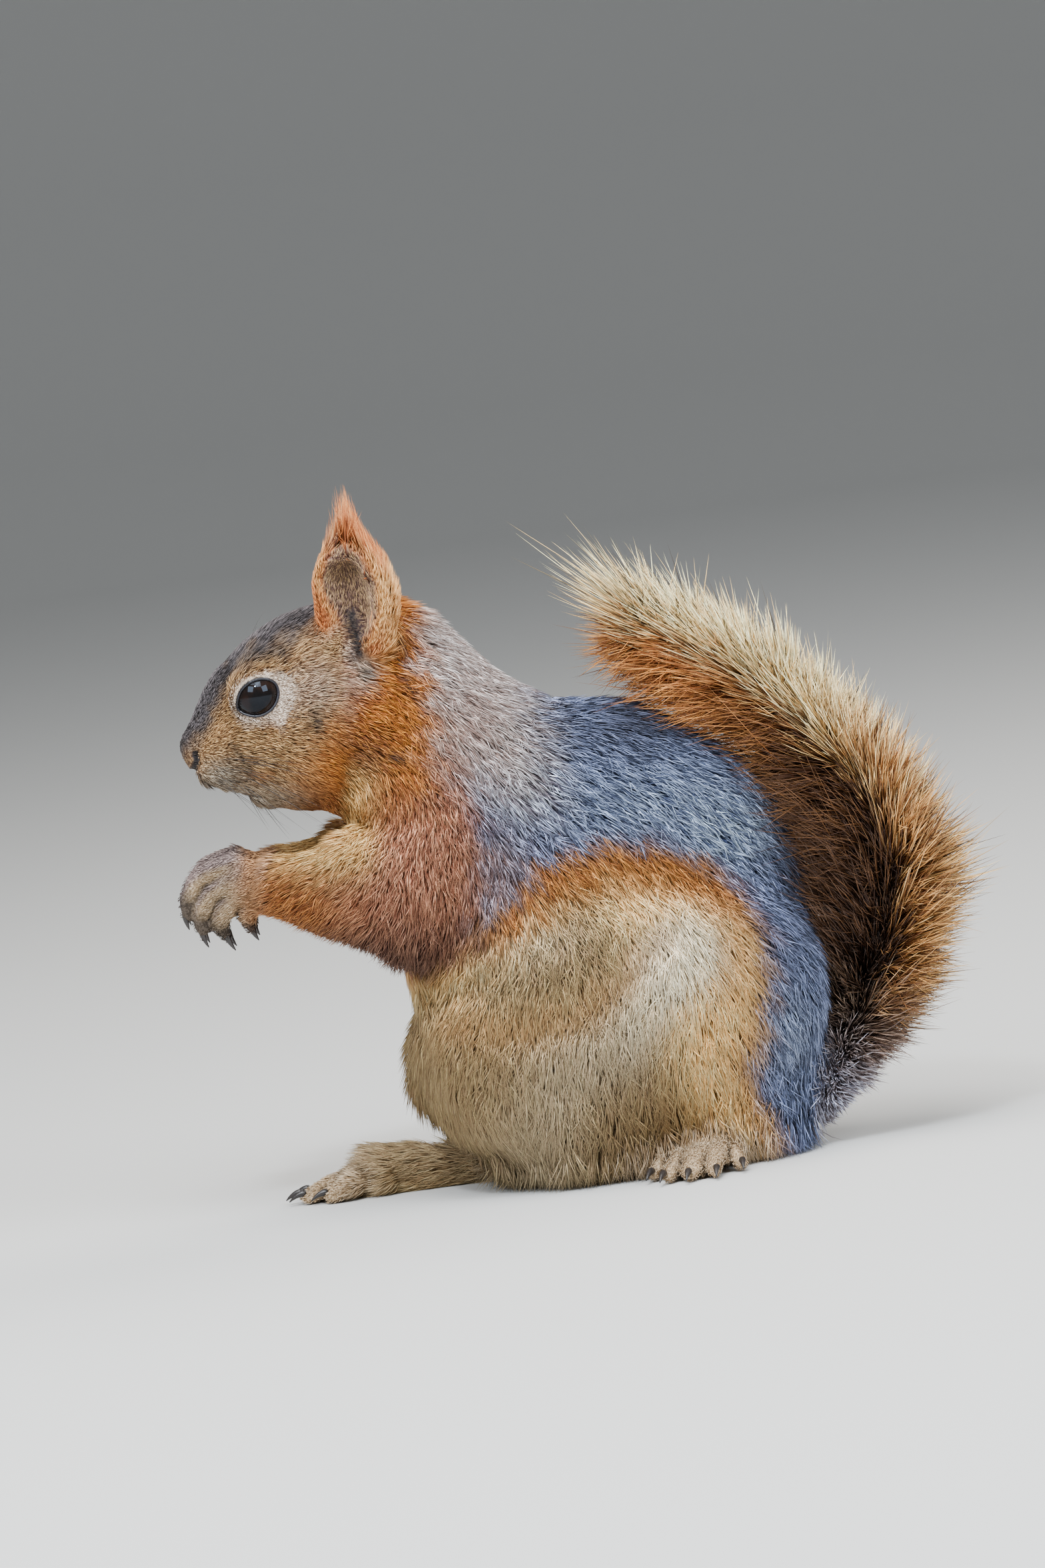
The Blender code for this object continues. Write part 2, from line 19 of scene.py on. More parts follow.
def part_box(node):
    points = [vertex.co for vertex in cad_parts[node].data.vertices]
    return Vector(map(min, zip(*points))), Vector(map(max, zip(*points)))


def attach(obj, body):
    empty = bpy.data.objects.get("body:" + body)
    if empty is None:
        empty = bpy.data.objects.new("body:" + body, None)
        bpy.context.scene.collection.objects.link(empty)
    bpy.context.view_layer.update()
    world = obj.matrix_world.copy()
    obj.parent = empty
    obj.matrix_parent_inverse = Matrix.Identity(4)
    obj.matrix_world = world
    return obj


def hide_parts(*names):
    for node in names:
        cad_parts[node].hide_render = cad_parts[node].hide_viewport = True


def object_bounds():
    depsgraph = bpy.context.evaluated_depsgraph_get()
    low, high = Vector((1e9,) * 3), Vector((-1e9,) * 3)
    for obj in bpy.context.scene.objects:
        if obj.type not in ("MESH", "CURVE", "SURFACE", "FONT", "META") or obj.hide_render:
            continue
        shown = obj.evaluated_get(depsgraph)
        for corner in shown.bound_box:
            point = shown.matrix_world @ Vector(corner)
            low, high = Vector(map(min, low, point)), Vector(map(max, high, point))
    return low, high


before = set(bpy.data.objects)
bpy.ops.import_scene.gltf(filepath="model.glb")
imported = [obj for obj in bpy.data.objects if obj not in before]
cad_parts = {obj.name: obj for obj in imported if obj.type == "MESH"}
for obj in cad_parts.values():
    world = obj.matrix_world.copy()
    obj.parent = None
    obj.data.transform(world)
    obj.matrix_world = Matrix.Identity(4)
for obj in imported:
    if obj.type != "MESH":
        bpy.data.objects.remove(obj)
CAD_BOX = [list(corner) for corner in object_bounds()]

bl_info = {
    "name": "Caucasian squirrel",
    "version": (1, 0, 0),
    "blender": (4, 5, 0),
    "location": "3D View > Sidebar > Squirrel",
    "description": "Skin, coat, eyes, whiskers and claws of a life-size sitting squirrel",
    "category": "Object",
}

MM = 0.001
SIDES = {"left": -1, "right": 1}
EYE_PLACE = np.array((-84.8, 9.6, 133.2))       # middle of the eyeball
LID_SHIFT = (0.4, 0, -0.9)                      # from there to the middle of the lids
LID_SLANT = math.radians(27)                    # slant of the opening of the lids
LID_HALF = (5.25, 4.35)                         # half length and half height of the opening
LID_EDGE_RADIUS = 6.35                          # distance from the middle of the lids to their edge
LID_RADIUS, SOCKET_RADIUS = 6.75, 5.4           # the lids, and the skin behind their opening
LID_REACH, LID_ANGLE = 14, 125                  # how far round the eye the skin takes part, in mm and degrees
EYE_MOUND = 7.1                                 # radius of the ball that fills the skin behind each eye
EAR_TURN = math.radians(28)                     # how far the hollow of the ear faces forwards
SIDE_RISE = 0.0875       # the borders of the coat rise by this much for each unit outwards
PAW_GROWTH, BODY_GROWTH = 0.3, 0.5              # by how much the solids grow before they are fused
WHISKER_RADII = (0.10, 0.09, 0.07, 0.05, 0.03, 0.0)
OTHER_WHISKERS = (                              # of the brow and the chin: guessed root, direction, length
    ((-88, 12, 141), (0.25, 0.3, 1.0), 15), ((-86, 12, 141), (0.4, 0.35, 1.0), 12),
    ((-93, 3, 105.5), (0.3, 0.3, -1.0), 9), ((-88, 3, 104.5), (0.5, 0.3, -1.0), 10),
)
CLAW_RADII = (0.85, 0.9, 0.8, 0.66, 0.5, 0.33, 0.12)
FLOOR_SIDES = 72
FLOOR_PROFILE = (                               # radius and height, in metres
    (2.9, 0), (3.0, 0), (3.6, 0.05), (4.2, 0.22), (4.7, 0.55), (5.05, 1.1), (5.2, 2.0), (5.2, 4.0),
)
WINDOWS = (                                     # name, place and side in metres, strength for its size
    ("front", (-0.72, -0.93, 0.88), 0.6, 1), ("top", (0.14, -0.77, 1.21), 0.52, 1),
    ("side", (0.75, -0.84, 0.74), 0.6, 1), ("pane", (-0.2, -0.9, 1.1), 0.14, 18),
)
TAIL_PIVOT = np.array((15.0, 75.0))             # x and z of the point that the tail curves round
TAIL_CORE = ((0, 0.2, 0.8, 0.95, 1), (4.6, 4.6, 3.6, 2.8, 1.2))      # radius of the tail's flesh along it


def middle_of(node):
    """Middle of a solid's box, in millimetres."""
    low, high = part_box(node)
    return np.array((low + high) / 2) / MM


EAR_TIP = np.array((-57.0, 16.9, 182.0))
HIPS = middle_of("eye_right") - EYE_PLACE

# Each region of the body: its solids, passes of smoothing, depth of the coat, and of each tuft the length,
# number to a square millimetre and width, then the coat piece that it belongs to.
REGIONS = {
    "nose": (("nose",), 5, 0.05, 0.7, 3.0, 0.16, "face"),
    "muzzle": (("muzzle",), 8, 0.5, 2.0, 8.5, 0.17, "face"),
    "jaw": (("lower_jaw",), 8, 0.7, 2.8, 7.0, 0.19, "face"),
    "head": (("head",), 14, 1.3, 4.0, 7.0, 0.205, "face"),
    "ear": (("ear_left", "ear_right"), 8, 0.6, 2.3, 7.5, 0.19, "ears"),
    "neck": (("neck",), 50, 2.8, 7.5, 4.2, 0.27, "neck"),
    "chest": (("chest",), 90, 3.6, 9.0, 3.4, 0.29, "back"),
    "rump": (("rump",), 90, 3.6, 9.0, 3.4, 0.29, "rump"),
    "belly": (("belly",), 90, 4.2, 11.0, 3.2, 0.30, "belly"),
    "thigh": (("thigh_left", "thigh_right"), 90, 3.6, 10.5, 3.0, 0.30, "thigh"),
    "upper arm": (("upper_arm_left", "upper_arm_right"), 60, 2.8, 7.5, 3.8, 0.27, "arm"),
    "forearm": (("forearm_left", "forearm_right"), 30, 2.0, 6.0, 4.4, 0.24, "arm"),
    "hand": (("hand_left", "hand_right"), 4, 0.4, 1.9, 4.6, 0.22, "paw"),
    "left foot": (("foot_left",), 4, 0.5, 1.9, 4.6, 0.22, "paw"),
    "right foot": (("foot_right",), 4, 0.5, 2.1, 4.6, 0.22, "paw"),
    "tail": ((), 30, 3.0, 8.0, 8.4, 0.32, "tail"),
}
REGION_NAMES = list(REGIONS)
TAIL_NODES = ("tail_1", "tail_2", "tail_3", "tail_4", "tail_5")
PIECES = ("face", "ears", "neck", "back", "rump", "belly", "thigh", "arm", "paw", "tail")
PIECE_SLOTS = {
    "face": "coat_ochre", "ears": "coat_orange", "neck": "coat_orange", "back": "coat_grey",
    "rump": "coat_grey", "belly": "coat_buff", "thigh": "coat_buff", "arm": "coat_rufous",
    "paw": "paw", "tail": "coat_tail",
}

# Which way the coat lies: a place (x, out, z) and the direction of the hair there.
LIE = (
    ((-105, 0, 122), (0.6, 0, 0.8)),       # tip of the nose
    ((-98, 7, 126), (0.85, 0.2, 0.45)),    # side of the bridge
    ((-86, 3, 146), (0.85, 0, 0.5)),       # forehead
    ((-70, 4, 154), (1, 0, 0.1)),          # crown
    ((-80, 13, 142), (0.9, 0.1, 0.35)),    # brow
    ((-98, 7, 114), (0.8, 0.4, -0.35)),    # whisker pad
    ((-98, 4, 110), (0.5, 0.1, -0.85)),    # upper lip
    ((-82, 14, 120), (0.95, 0.2, -0.2)),   # cheek
    ((-74, 15, 133), (1, 0.05, 0.0)),      # behind the eye
    ((-62, 16, 120), (0.8, 0.1, -0.5)),    # back of the cheek
    ((-80, 9, 106), (0.95, 0, -0.3)),      # jaw
    ((-92, 3, 107), (0.9, 0, -0.4)),       # chin
    ((-68, 5, 101), (0.2, 0, -1)),         # throat
    ((-48, 15, 138), (0.75, 0.1, -0.65)),  # behind the ear
    ((-42, 4, 150), (0.85, 0, -0.5)),      # nape
    ((-42, 19, 118), (0.45, 0, -0.9)),     # side of the neck
    ((-30, 23, 105), (0.5, 0, -0.85)),     # shoulder
    ((-48, 22, 92), (-0.05, 0, -1)),       # upper arm
    ((-62, 20, 96), (-0.45, 0, -0.9)),     # front of the upper arm
    ((-50, 22, 70), (-0.3, 0, -0.95)),     # elbow
    ((-68, 20, 80), (-0.8, 0, -0.6)),      # forearm
    ((-82, 15, 84), (-0.95, 0, -0.3)),     # towards the wrist
    ((-75, 14, 92), (-0.95, 0, -0.2)),     # top of the forearm
    ((-15, 6, 124), (0.9, 0, -0.4)),       # withers
    ((12, 8, 114), (0.85, 0, -0.55)),      # middle of the back
    ((-12, 26, 100), (0.75, 0, -0.65)),    # ribs
    ((12, 28, 95), (0.75, 0.1, -0.65)),    # flank
    ((-15, 29, 80), (0.5, 0, -0.85)),      # behind the elbow
    ((38, 14, 88), (0.6, 0, -0.8)),        # loin
    ((46, 12, 55), (0.15, 0, -1)),         # rump
    ((28, 27, 58), (0.45, 0, -0.9)),       # hip
    ((40, 16, 20), (0.1, 0, -1)),          # seat
    ((0, 33, 66), (0.1, 0, -1)),           # top of the thigh
    ((5, 36, 45), (-0.25, 0, -1)),         # thigh
    ((24, 32, 38), (0.25, 0, -1)),         # back of the thigh
    ((-30, 32, 45), (-0.2, 0, -1)),        # knee
    ((-20, 30, 22), (-0.1, 0, -1)),        # side of the belly
    ((-60, 5, 75), (0.1, 0, -1)),          # chest
    ((-60, 6, 40), (0.1, 0, -1)),          # belly
    ((-25, 8, 5), (0.9, 0, -0.3)),         # under the belly
)
REGION_LIE = {           # lie of the coat that holds for a whole region; x, y, z
    "ear": (0.12, 0, 1),
    "hand": (-1, 0, -0.25),
    "left foot": (-0.21, -0.98, 0),
    "right foot": (-1, 0.07, 0),
}

# Middle line of each finger as (x, out, z), and where the toes stand across the foot.
FINGERS = (
    ((-96, 10.5, 91.5), (-104.5, 9.5, 89.5), (-109.3, 7.5, 84), (-110, 6.5, 79.5)),
    ((-96, 10.8, 88), (-103.5, 9, 84.5), (-107, 7, 79), (-106.5, 5.8, 74.5)),
    ((-95, 10.5, 84.5), (-100, 8.5, 80.5), (-101.8, 6.5, 76), (-100.5, 5.5, 72.5)),
    ((-92, 9.5, 82), (-94.2, 8.2, 79), (-94.6, 7.2, 76), (-94, 6.5, 73.5)),
)
TOE_SPREAD = (-0.84, -0.44, 0.0, 0.44, 0.84)

# Borders of the coat in side view, as (x, z).
PALE_FLANK = (
    (-75, 60), (-48, 61), (-34, 66.5), (-20, 77.6), (-8, 81), (3, 80), (14, 76), (24, 67.5), (30, 56), (31, 46),
    (28, 33), (24, 25), (24.5, 14.5), (27, 0), (27, -12), (-110, -12), (-110, 60),
)
COLLAR_BACK = ((150, -43), (140, -43.5), (130, -43), (119, -41), (110, -41), (92, -36.6), (76, -36.8), (63, -41))
COLLAR_FRONT = ((152, -54), (140, -55), (130, -59), (120, -64), (112, -70), (104, -75), (98, -78), (60, -120))
CROWN = (
    (-108, 118), (-101, 121), (-96, 127), (-91.5, 134), (-84, 139), (-76, 141), (-68, 144), (-60, 147), (-50, 150),
)
ARM_STREAM = ((-63, 105), (-65, 96), (-66.5, 88), (-73, 88), (-83, 91.5))
MOUTH = ((-103.6, 114.6), (-100.5, 112.2), (-96, 108.6), (-89, 106.9))
NOSTRIL = ((-102.0, 119.0), (-101.9, 117.0), (-103.2, 114.9))
FOLD = ((-46, 44), (-30.5, 41), (-15.5, 42), (-3, 50), (6, 58))
PALE_STREAM = ((11, 53), (3, 44), (-9, 33.5), (-22.6, 26.6), (-30, 16))
BROW = ((-92, 135), (-89, 139.4), (-83.4, 141.3), (-77, 140.6))
EAR_OPENING = (
    (-58, 166), (-53.4, 162), (-50.3, 154.5), (-50.8, 147), (-54, 141), (-58.8, 138), (-61, 142), (-62.8, 148),
    (-65, 152.5), (-65.4, 158), (-62.6, 163),
)
# The crease behind the whisker pad exists only as painted shade.
CREASE = ((-92.5, 120), (-89.5, 115.5), (-88.5, 111))
EAR_CANAL = ((-58.6, 148), (-58.2, 142), (-57.8, 137.5))
EAR_ROOT = (-58, 141, 4, 7)      # where the pinna runs down into the side of the head: a spot
LIP_CREASE = ((-106, 117.5), (-103.6, 114.6))
CHIN_LINE = ((-104, -97, -91.7, -86.9, -80), (113, 109.2, 107.6, 104.2, 99))      # x, and the height of the chin

# Soft spots of the coat in side view: x, z, half width, half height, strength.
# Painted sheen: bluish sky light on the fur of the flank, the shoulder and the hip.
SKY_SHEEN_SPOTS = ((8, 91, 22, 9, 0.6), (26, 80, 11, 9, 0.9), (-22, 99, 10, 9, 0.7), (34, 30, 6, 12, 0.4))
RUFOUS_SPOTS = ((-31, 78, 9, 10, 0.3), (-34, 115, 8, 12, 0.35))
PAD_SPOTS = ((-96, 112, 6.5, 4.5, 1), (-88, 105, 12, 4.5, 0.9))
BLUSH_SPOTS = ((-86, 111.5, 3.2, 1.4, 0.6), (-79.5, 124, 2.6, 2.2, 0.45))
# Painted shade where shadow falls on the coat, at the places named on the next line.
SHADE_SPOTS = (                         # back, loin, behind the cheek, jaw, elbow, hand, hip, seat, below the elbow
    (8, 111, 22, 9, 0.66), (42, 66, 9, 20, 0.6), (-58, 112, 6, 7, 0.55), (-74, 104, 8, 4, 0.25),
    (-30, 79, 6, 8, 0.25), (-78, 82, 12, 8, 0.24), (52, 28, 9, 9, 0.5), (-32, 3, 30, 9, 0.35), (-41, 53, 15, 8, 0.3),
)
WHISKER_DOTS = [
    (-99.5 + 1.9 * (k % 6) + 0.5 * (k // 6), 116.5 - 2.3 * (k // 6) - 0.25 * (k % 6), 0.55, 0.3, 0.85)
    for k in range(18)]
SMUDGES = (                             # small dark marks on the cheek, the neck and below the ear
    (-70.5, 122.5, 1.4, 3.4, 0.9), (-47, 128, 1.2, 2.2, 0.9), (-48, 138, 1.0, 1.4, 0.9), (-52, 111, 2.6, 1.6, 0.9),
    (-56.2, 133.8, 1.2, 2.4, 0.9),
)

# The coat's colours in the order in which the markings lie over each other; the first is everywhere. Each row
# is the place, the ground colour near the roots and the accent colour of the tips.
COAT_COLOURS = {
    # The grey is the coat's own, but its blue is painted light: it stands for bluish daylight on the tips.
    "grey": ("Back and rump", (0.009, 0.012, 0.026), (0.44, 0.525, 0.86)),
    # Painted sheen of bluish sky light on the flank, the shoulder and the hip.
    "silver": ("Palest part of the flank", (0.03, 0.045, 0.13), (0.72, 0.86, 1)),
    "nape": ("Nape and shoulders", (0.33, 0.23, 0.195), (1, 0.93, 0.9)),
    "tan": ("Between the flank band and the thigh", (0.95, 0.56, 0.19), (1, 0.82, 0.43)),
    "buff": ("Belly and thigh", (0.29, 0.178, 0.082), (0.5, 0.357, 0.165)),
    # Partly pale fur and partly a painted highlight where light falls on the knee.
    "cream": ("Palest fur of belly and thigh", (0.95, 0.8, 0.56), (1, 0.93, 0.7)),
    "face": ("Cheeks and muzzle", (0.165, 0.07, 0.022), (0.69, 0.425, 0.185)),
    "orange": ("Collar and flank band", (0.25, 0.058, 0.004), (0.8, 0.3, 0.042)),
    "rufous": ("Arms", (0.2, 0.06, 0.03), (0.75, 0.375, 0.228)),
    "stream": ("Pale stream over the arm", (0.54, 0.27, 0.07), (1, 0.7, 0.3)),
    "crown": ("Top of the head", (0.018, 0.014, 0.014), (0.175, 0.147, 0.15)),
    "pad": ("Whisker pad and chin", (0.2, 0.135, 0.08), (0.62, 0.53, 0.41)),
    "ring": ("Ring round the eye", (0.62, 0.48, 0.37), (1, 0.87, 0.75)),
    "ear_red": ("Back and edge of the ear", (0.24, 0.05, 0.008), (0.66, 0.235, 0.065)),
    "ear_brown": ("Hollow of the ear", (0.13, 0.065, 0.055), (0.52, 0.33, 0.16)),
    "paw": ("Hands and feet", (0.42, 0.28, 0.15), (0.78, 0.6, 0.41)),
    "knuckle": ("Backs of the fingers", (0.2, 0.14, 0.13), (0.42, 0.315, 0.28)),
    "tail_gold": ("Tail", (0.14, 0.045, 0.01), (0.9, 0.5, 0.16)),
    "tail_pale": ("Outer side of the tail", (0.82, 0.54, 0.22), (1, 0.93, 0.55)),
    # Dark hair and painted shadow where the inner side of the tail lies against the back.
    "tail_dark": ("Inner side of the tail", (0.005, 0.002, 0.0008), (0.031, 0.0115, 0.004)),
    "tail_red": ("Underside of the tail's end", (0.2, 0.05, 0.01), (0.82, 0.335, 0.085)),
    # The dark marking holds real dark marks and painted shade, as noted where its mask is made.
    "dark": ("Dark marks", (0.012, 0.009, 0.009), (0.05, 0.038, 0.036)),
}
MARKINGS = tuple(COAT_COLOURS)
TAIL_MARKINGS = ("tail_pale", "tail_dark", "tail_red")
MASK_SETS = 6            # colour attributes that hold the masks, four in each
TUFT_PATCH = 0.003       # side of one tuft's patch on the map for baking


# ---------------------------------------------------------------- values over the surface

def smooth(low, high, value):
    """0 at the first value and 1 at the second, with a soft step between them."""
    t = np.clip((value - low) / (high - low), 0.0, 1.0)
    return t * t * (3.0 - 2.0 * t)


def unit(vectors):
    """Vectors of length 1 in the same directions."""
    return vectors / np.maximum(np.linalg.norm(vectors, axis=-1, keepdims=True), 1e-9)


def ripple(points, size, seed):
    """Smooth wavy noise of that size, about -1 to 1."""
    rng = np.random.default_rng(seed)
    waves = unit(rng.normal(size=(7, 3))) * rng.uniform(0.7, 1.4, (7, 1)) * (2 * math.pi / size)
    return np.sin(points @ waves.T + rng.uniform(0, 2 * math.pi, 7)).sum(1) / 2.6


def chain_distance(chain, x, z):
    """Distance in side view from a chain of points."""
    best = np.full(len(x), 1e9)
    for (ax, az), (bx, bz) in zip(chain, chain[1:]):
        dx, dz = bx - ax, bz - az
        t = np.clip(((x - ax) * dx + (z - az) * dz) / (dx * dx + dz * dz), 0, 1)
        best = np.minimum(best, np.hypot(x - ax - t * dx, z - az - t * dz))
    return best


def depth_inside(outline, x, z):
    """Distance from an outline in side view, above zero inside it."""
    inside = np.zeros(len(x), bool)
    closed = list(outline) + [outline[0]]
    for (ax, az), (bx, bz) in zip(closed, closed[1:]):
        if az != bz:
            inside ^= ((az > z) != (bz > z)) & (x < (bx - ax) * (z - az) / (bz - az) + ax)
    return np.where(inside, 1, -1) * chain_distance(closed, x, z)


def border(table, z):
    """Where a border that is written from top to bottom lies at each height."""
    heights = [row[0] for row in reversed(table)]
    return np.interp(z, heights, [row[1] for row in reversed(table)])


def spot(x, z, cx, cz, rx, rz):
    """1 at a place in side view, fading over the half width rx and half height rz."""
    return np.exp(-((x - cx) / rx) ** 2 - ((z - cz) / rz) ** 2)


def spots(x, z, rows):
    """The sum of spots, each written as its place, half width, half height and strength."""
    return sum(much * spot(x, z, *row) for *row, much in rows)


def strongest(x, z, rows):
    """The same rows as for spots, but the largest of them at each point instead of their sum."""
    return np.maximum.reduce([much * spot(x, z, *row) for *row, much in rows])


def stripe(chain, x, z, width):
    """1 along a chain of points in side view, fading over the width to each side."""
    return np.exp(-(chain_distance(chain, x, z) / width) ** 2)


def share_of(weights, *names):
    """How much each point belongs to the named regions together."""
    return sum(weights[:, REGION_NAMES.index(name)] for name in names)


def mask_column(name):
    """Where a marking stands among the stored masks, which leave out the first."""
    return MARKINGS.index(name) - 1


# ---------------------------------------------------------------- surfaces as arrays

class Surface:
    """A closed skin of triangles, in millimetres about the point below the hips."""

    def __init__(self, co, tris):
        self.co, self.tris = co, tris
        self.rewire()

    def rewire(self):
        count = len(self.co)
        pairs = np.vstack([self.tris[:, [0, 1]], self.tris[:, [1, 2]], self.tris[:, [2, 0]]])
        pairs = pairs[np.argsort(pairs[:, 0], kind="stable")]
        self.beside = pairs[:, 1]
        self.first = np.searchsorted(pairs[:, 0], np.arange(count))
        self.degree = np.bincount(pairs[:, 0], minlength=count)[:, None]

    def around(self, values):
        """The mean of the values at each point's neighbours."""
        return np.add.reduceat(values[self.beside], self.first, axis=0) / self.degree

    def spread(self, values, passes):
        for _ in range(passes):
            values = 0.5 * values + 0.5 * self.around(values)
        return values

    def normals(self):
        a, b, c = (self.co[self.tris[:, k]] for k in range(3))
        faces = np.cross(b - a, c - a)
        total = np.zeros_like(self.co)
        for k in range(3):
            for axis in range(3):
                total[:, axis] += np.bincount(self.tris[:, k], faces[:, axis], len(self.co))
        return unit(total)

    def areas(self):
        a, b, c = (self.co[self.tris[:, k]] for k in range(3))
        return np.linalg.norm(np.cross(b - a, c - a), axis=1) / 2

    def keep_largest(self):
        """Drop every loose part but the largest."""
        label = np.full(len(self.co), -1)
        ends = np.append(self.first[1:], len(self.beside))
        sizes = []
        for seed in range(len(self.co)):
            if label[seed] >= 0:
                continue
            number, stack, size = len(sizes), [seed], 0
            label[seed] = number
            while stack:
                here = stack.pop()
                size += 1
                for other in self.beside[self.first[here]:ends[here]]:
                    if label[other] < 0:
                        label[other] = number
                        stack.append(other)
            sizes.append(size)
        kept = label == int(np.argmax(sizes))
        renumbered = np.cumsum(kept) - 1
        self.tris = renumbered[self.tris[kept[self.tris[:, 0]]]]
        self.co = self.co[kept]
        self.rewire()

    def refine(self, chosen):
        """Split each chosen triangle into four, and its neighbours to match."""
        mesh = mesh_from("refine", self.co, self.tris)
        bm = bmesh.new()
        bm.from_mesh(mesh)
        bm.faces.ensure_lookup_table()
        edges = {e for i in np.flatnonzero(chosen) for e in bm.faces[i].edges}
        bmesh.ops.subdivide_edges(bm, edges=list(edges), cuts=1, use_grid_fill=True, smooth=0.3)
        bmesh.ops.triangulate(bm, faces=bm.faces)
        bm.to_mesh(mesh)
        bm.free()
        self.co, self.tris = arrays_of(mesh)
        bpy.data.meshes.remove(mesh)
        self.rewire()

    def tree(self):
        return BVHTree.FromPolygons(self.co.tolist(), self.tris.tolist())


def arrays_of(mesh):
    """Points in millimetres about the hips, and triangles, of a mesh in metres."""
    mesh.calc_loop_triangles()
    co = np.empty(len(mesh.vertices) * 3)
    mesh.vertices.foreach_get("co", co)
    tris = np.empty(len(mesh.loop_triangles) * 3, np.int32)
    mesh.loop_triangles.foreach_get("vertices", tris)
    return co.reshape(-1, 3) / MM - HIPS, tris.reshape(-1, 3)


def mesh_from(name, co, tris):
    """A smooth mesh in metres from points in millimetres about the hips."""
    mesh = bpy.data.meshes.new(name)
    mesh.vertices.add(len(co))
    mesh.vertices.foreach_set("co", ((co + HIPS) * MM).astype(np.float32).ravel())
    mesh.loops.add(len(tris) * 3)
    mesh.loops.foreach_set("vertex_index", tris.astype(np.int32).ravel())
    mesh.polygons.add(len(tris))
    mesh.polygons.foreach_set("loop_start", np.arange(0, len(tris) * 3, 3, dtype=np.int32))
    mesh.update(calc_edges=True)
    mesh.shade_smooth()
    return mesh


def put_values(mesh, name, values):
    """Store a number, vector or four-part mask at each point."""
    values = np.asarray(values, np.float32)
    width = 1 if values.ndim == 1 else values.shape[1]
    kind, field = {1: ("FLOAT", "value"), 3: ("FLOAT_VECTOR", "vector"), 4: ("FLOAT_COLOR", "color")}[width]
    mesh.attributes.new(name, kind, "POINT").data.foreach_set(field, values.ravel())


def mesh_of(bm, name):
    """A mesh from bm, which is freed."""
    mesh = bpy.data.meshes.new(name)
    bm.to_mesh(mesh)
    bm.free()
    return mesh


def placed(name, mesh, slot):
    """A finished piece of the squirrel."""
    piece = bpy.data.objects.new(name, mesh)
    bpy.context.scene.collection.objects.link(piece)
    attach(piece, "root")
    return piece


def fused(bm, voxel):
    """One skin round everything in bm."""
    mesh = mesh_of(bm, "fused")
    block = bpy.data.objects.new("fused", mesh)
    bpy.context.scene.collection.objects.link(block)
    remesh = block.modifiers.new("fuse", "REMESH")
    remesh.mode = "VOXEL"
    remesh.voxel_size = voxel
    graph = bpy.context.evaluated_depsgraph_get()
    result = bpy.data.meshes.new_from_object(block.evaluated_get(graph))
    surface = Surface(*arrays_of(result))
    bpy.data.objects.remove(block)
    bpy.data.meshes.remove(mesh)
    bpy.data.meshes.remove(result)
    surface.keep_largest()
    return surface


def add_solid(bm, node, grow):
    """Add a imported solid, grown a little so that neighbours meet."""
    part = bmesh.new()
    part.from_mesh(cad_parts[node].data)
    bmesh.ops.remove_doubles(part, verts=part.verts, dist=1e-6)
    part.normal_update()
    for vertex in part.verts:
        vertex.co += vertex.normal * grow * MM
    mesh = mesh_of(part, node + "_grown")
    bm.from_mesh(mesh)
    bpy.data.meshes.remove(mesh)


def add_tube(bm, centres, radii, sides=12):
    """Closed tube along points in millimetres about the hips."""
    centres = np.asarray(centres, float)
    ahead = unit(np.gradient(centres, axis=0))
    up = unit(np.cross(ahead, np.cross((0.13, 0.99, 0.05), ahead)))
    across = np.cross(up, ahead)
    rows = []
    for c, u, s, r in zip(centres, up, across, radii):
        angles = [math.tau * k / sides for k in range(sides)]
        rows.append([bm.verts.new((c + (u * math.cos(a) + s * math.sin(a)) * r + HIPS) * MM) for a in angles])
    for row, after in zip(rows, rows[1:]):
        for i in range(sides):
            bm.faces.new((row[i], after[i], after[(i + 1) % sides], row[(i + 1) % sides]))
    bm.faces.new(rows[0])
    bm.faces.new(reversed(rows[-1]))


# ---------------------------------------------------------------- the tail's line

def tail_outline():
    """The outside of the tail's coat, from its solids."""
    bm = bmesh.new()
    for node in TAIL_NODES:
        add_solid(bm, node, BODY_GROWTH)
    return fused(bm, 1.2 * MM)


def tail_line(outline, steps=40):
    """Middle line of the tail from root to tip, by the angle about a point inside its curve."""
    flat = outline.co[:, [0, 2]] - TAIL_PIVOT
    angle = np.degrees(np.arctan2(flat[:, 1], flat[:, 0]))
    reach = np.linalg.norm(flat, axis=1)
    low, high = np.percentile(angle, (0.5, 99.7))
    stops = np.linspace(low, high, 26)
    points = []
    for stop in stops:
        near = np.abs(angle - stop) < 4.5
        middle = (reach[near].min() + reach[near].max()) / 2
        turn = math.radians(stop)
        points.append((TAIL_PIVOT[0] + middle * math.cos(turn), 0.0, TAIL_PIVOT[1] + middle * math.sin(turn)))
    points = np.array(points)
    for _ in range(3):
        points[1:-1] = (points[:-2] + 2 * points[1:-1] + points[2:]) / 4
    run = np.concatenate([[0], np.cumsum(np.linalg.norm(np.diff(points, axis=0), axis=1))])
    even = np.linspace(0, run[-1], steps)
    return np.stack([np.interp(even, run, points[:, k]) for k in range(3)], 1)


# ---------------------------------------------------------------- the skin

def eye_frame(side):
    """Centre, outward axis, and the two directions across the opening of the lids."""
    centre = (EYE_PLACE + LID_SHIFT) * (1, side, 1)
    axis = unit(np.array((0.03, side, -0.12)))
    along = np.array((math.cos(LID_SLANT), 0, math.sin(LID_SLANT)))
    along = unit(along - axis * (along @ axis))
    up = np.cross(along, axis) * -side
    return centre, axis, along, up


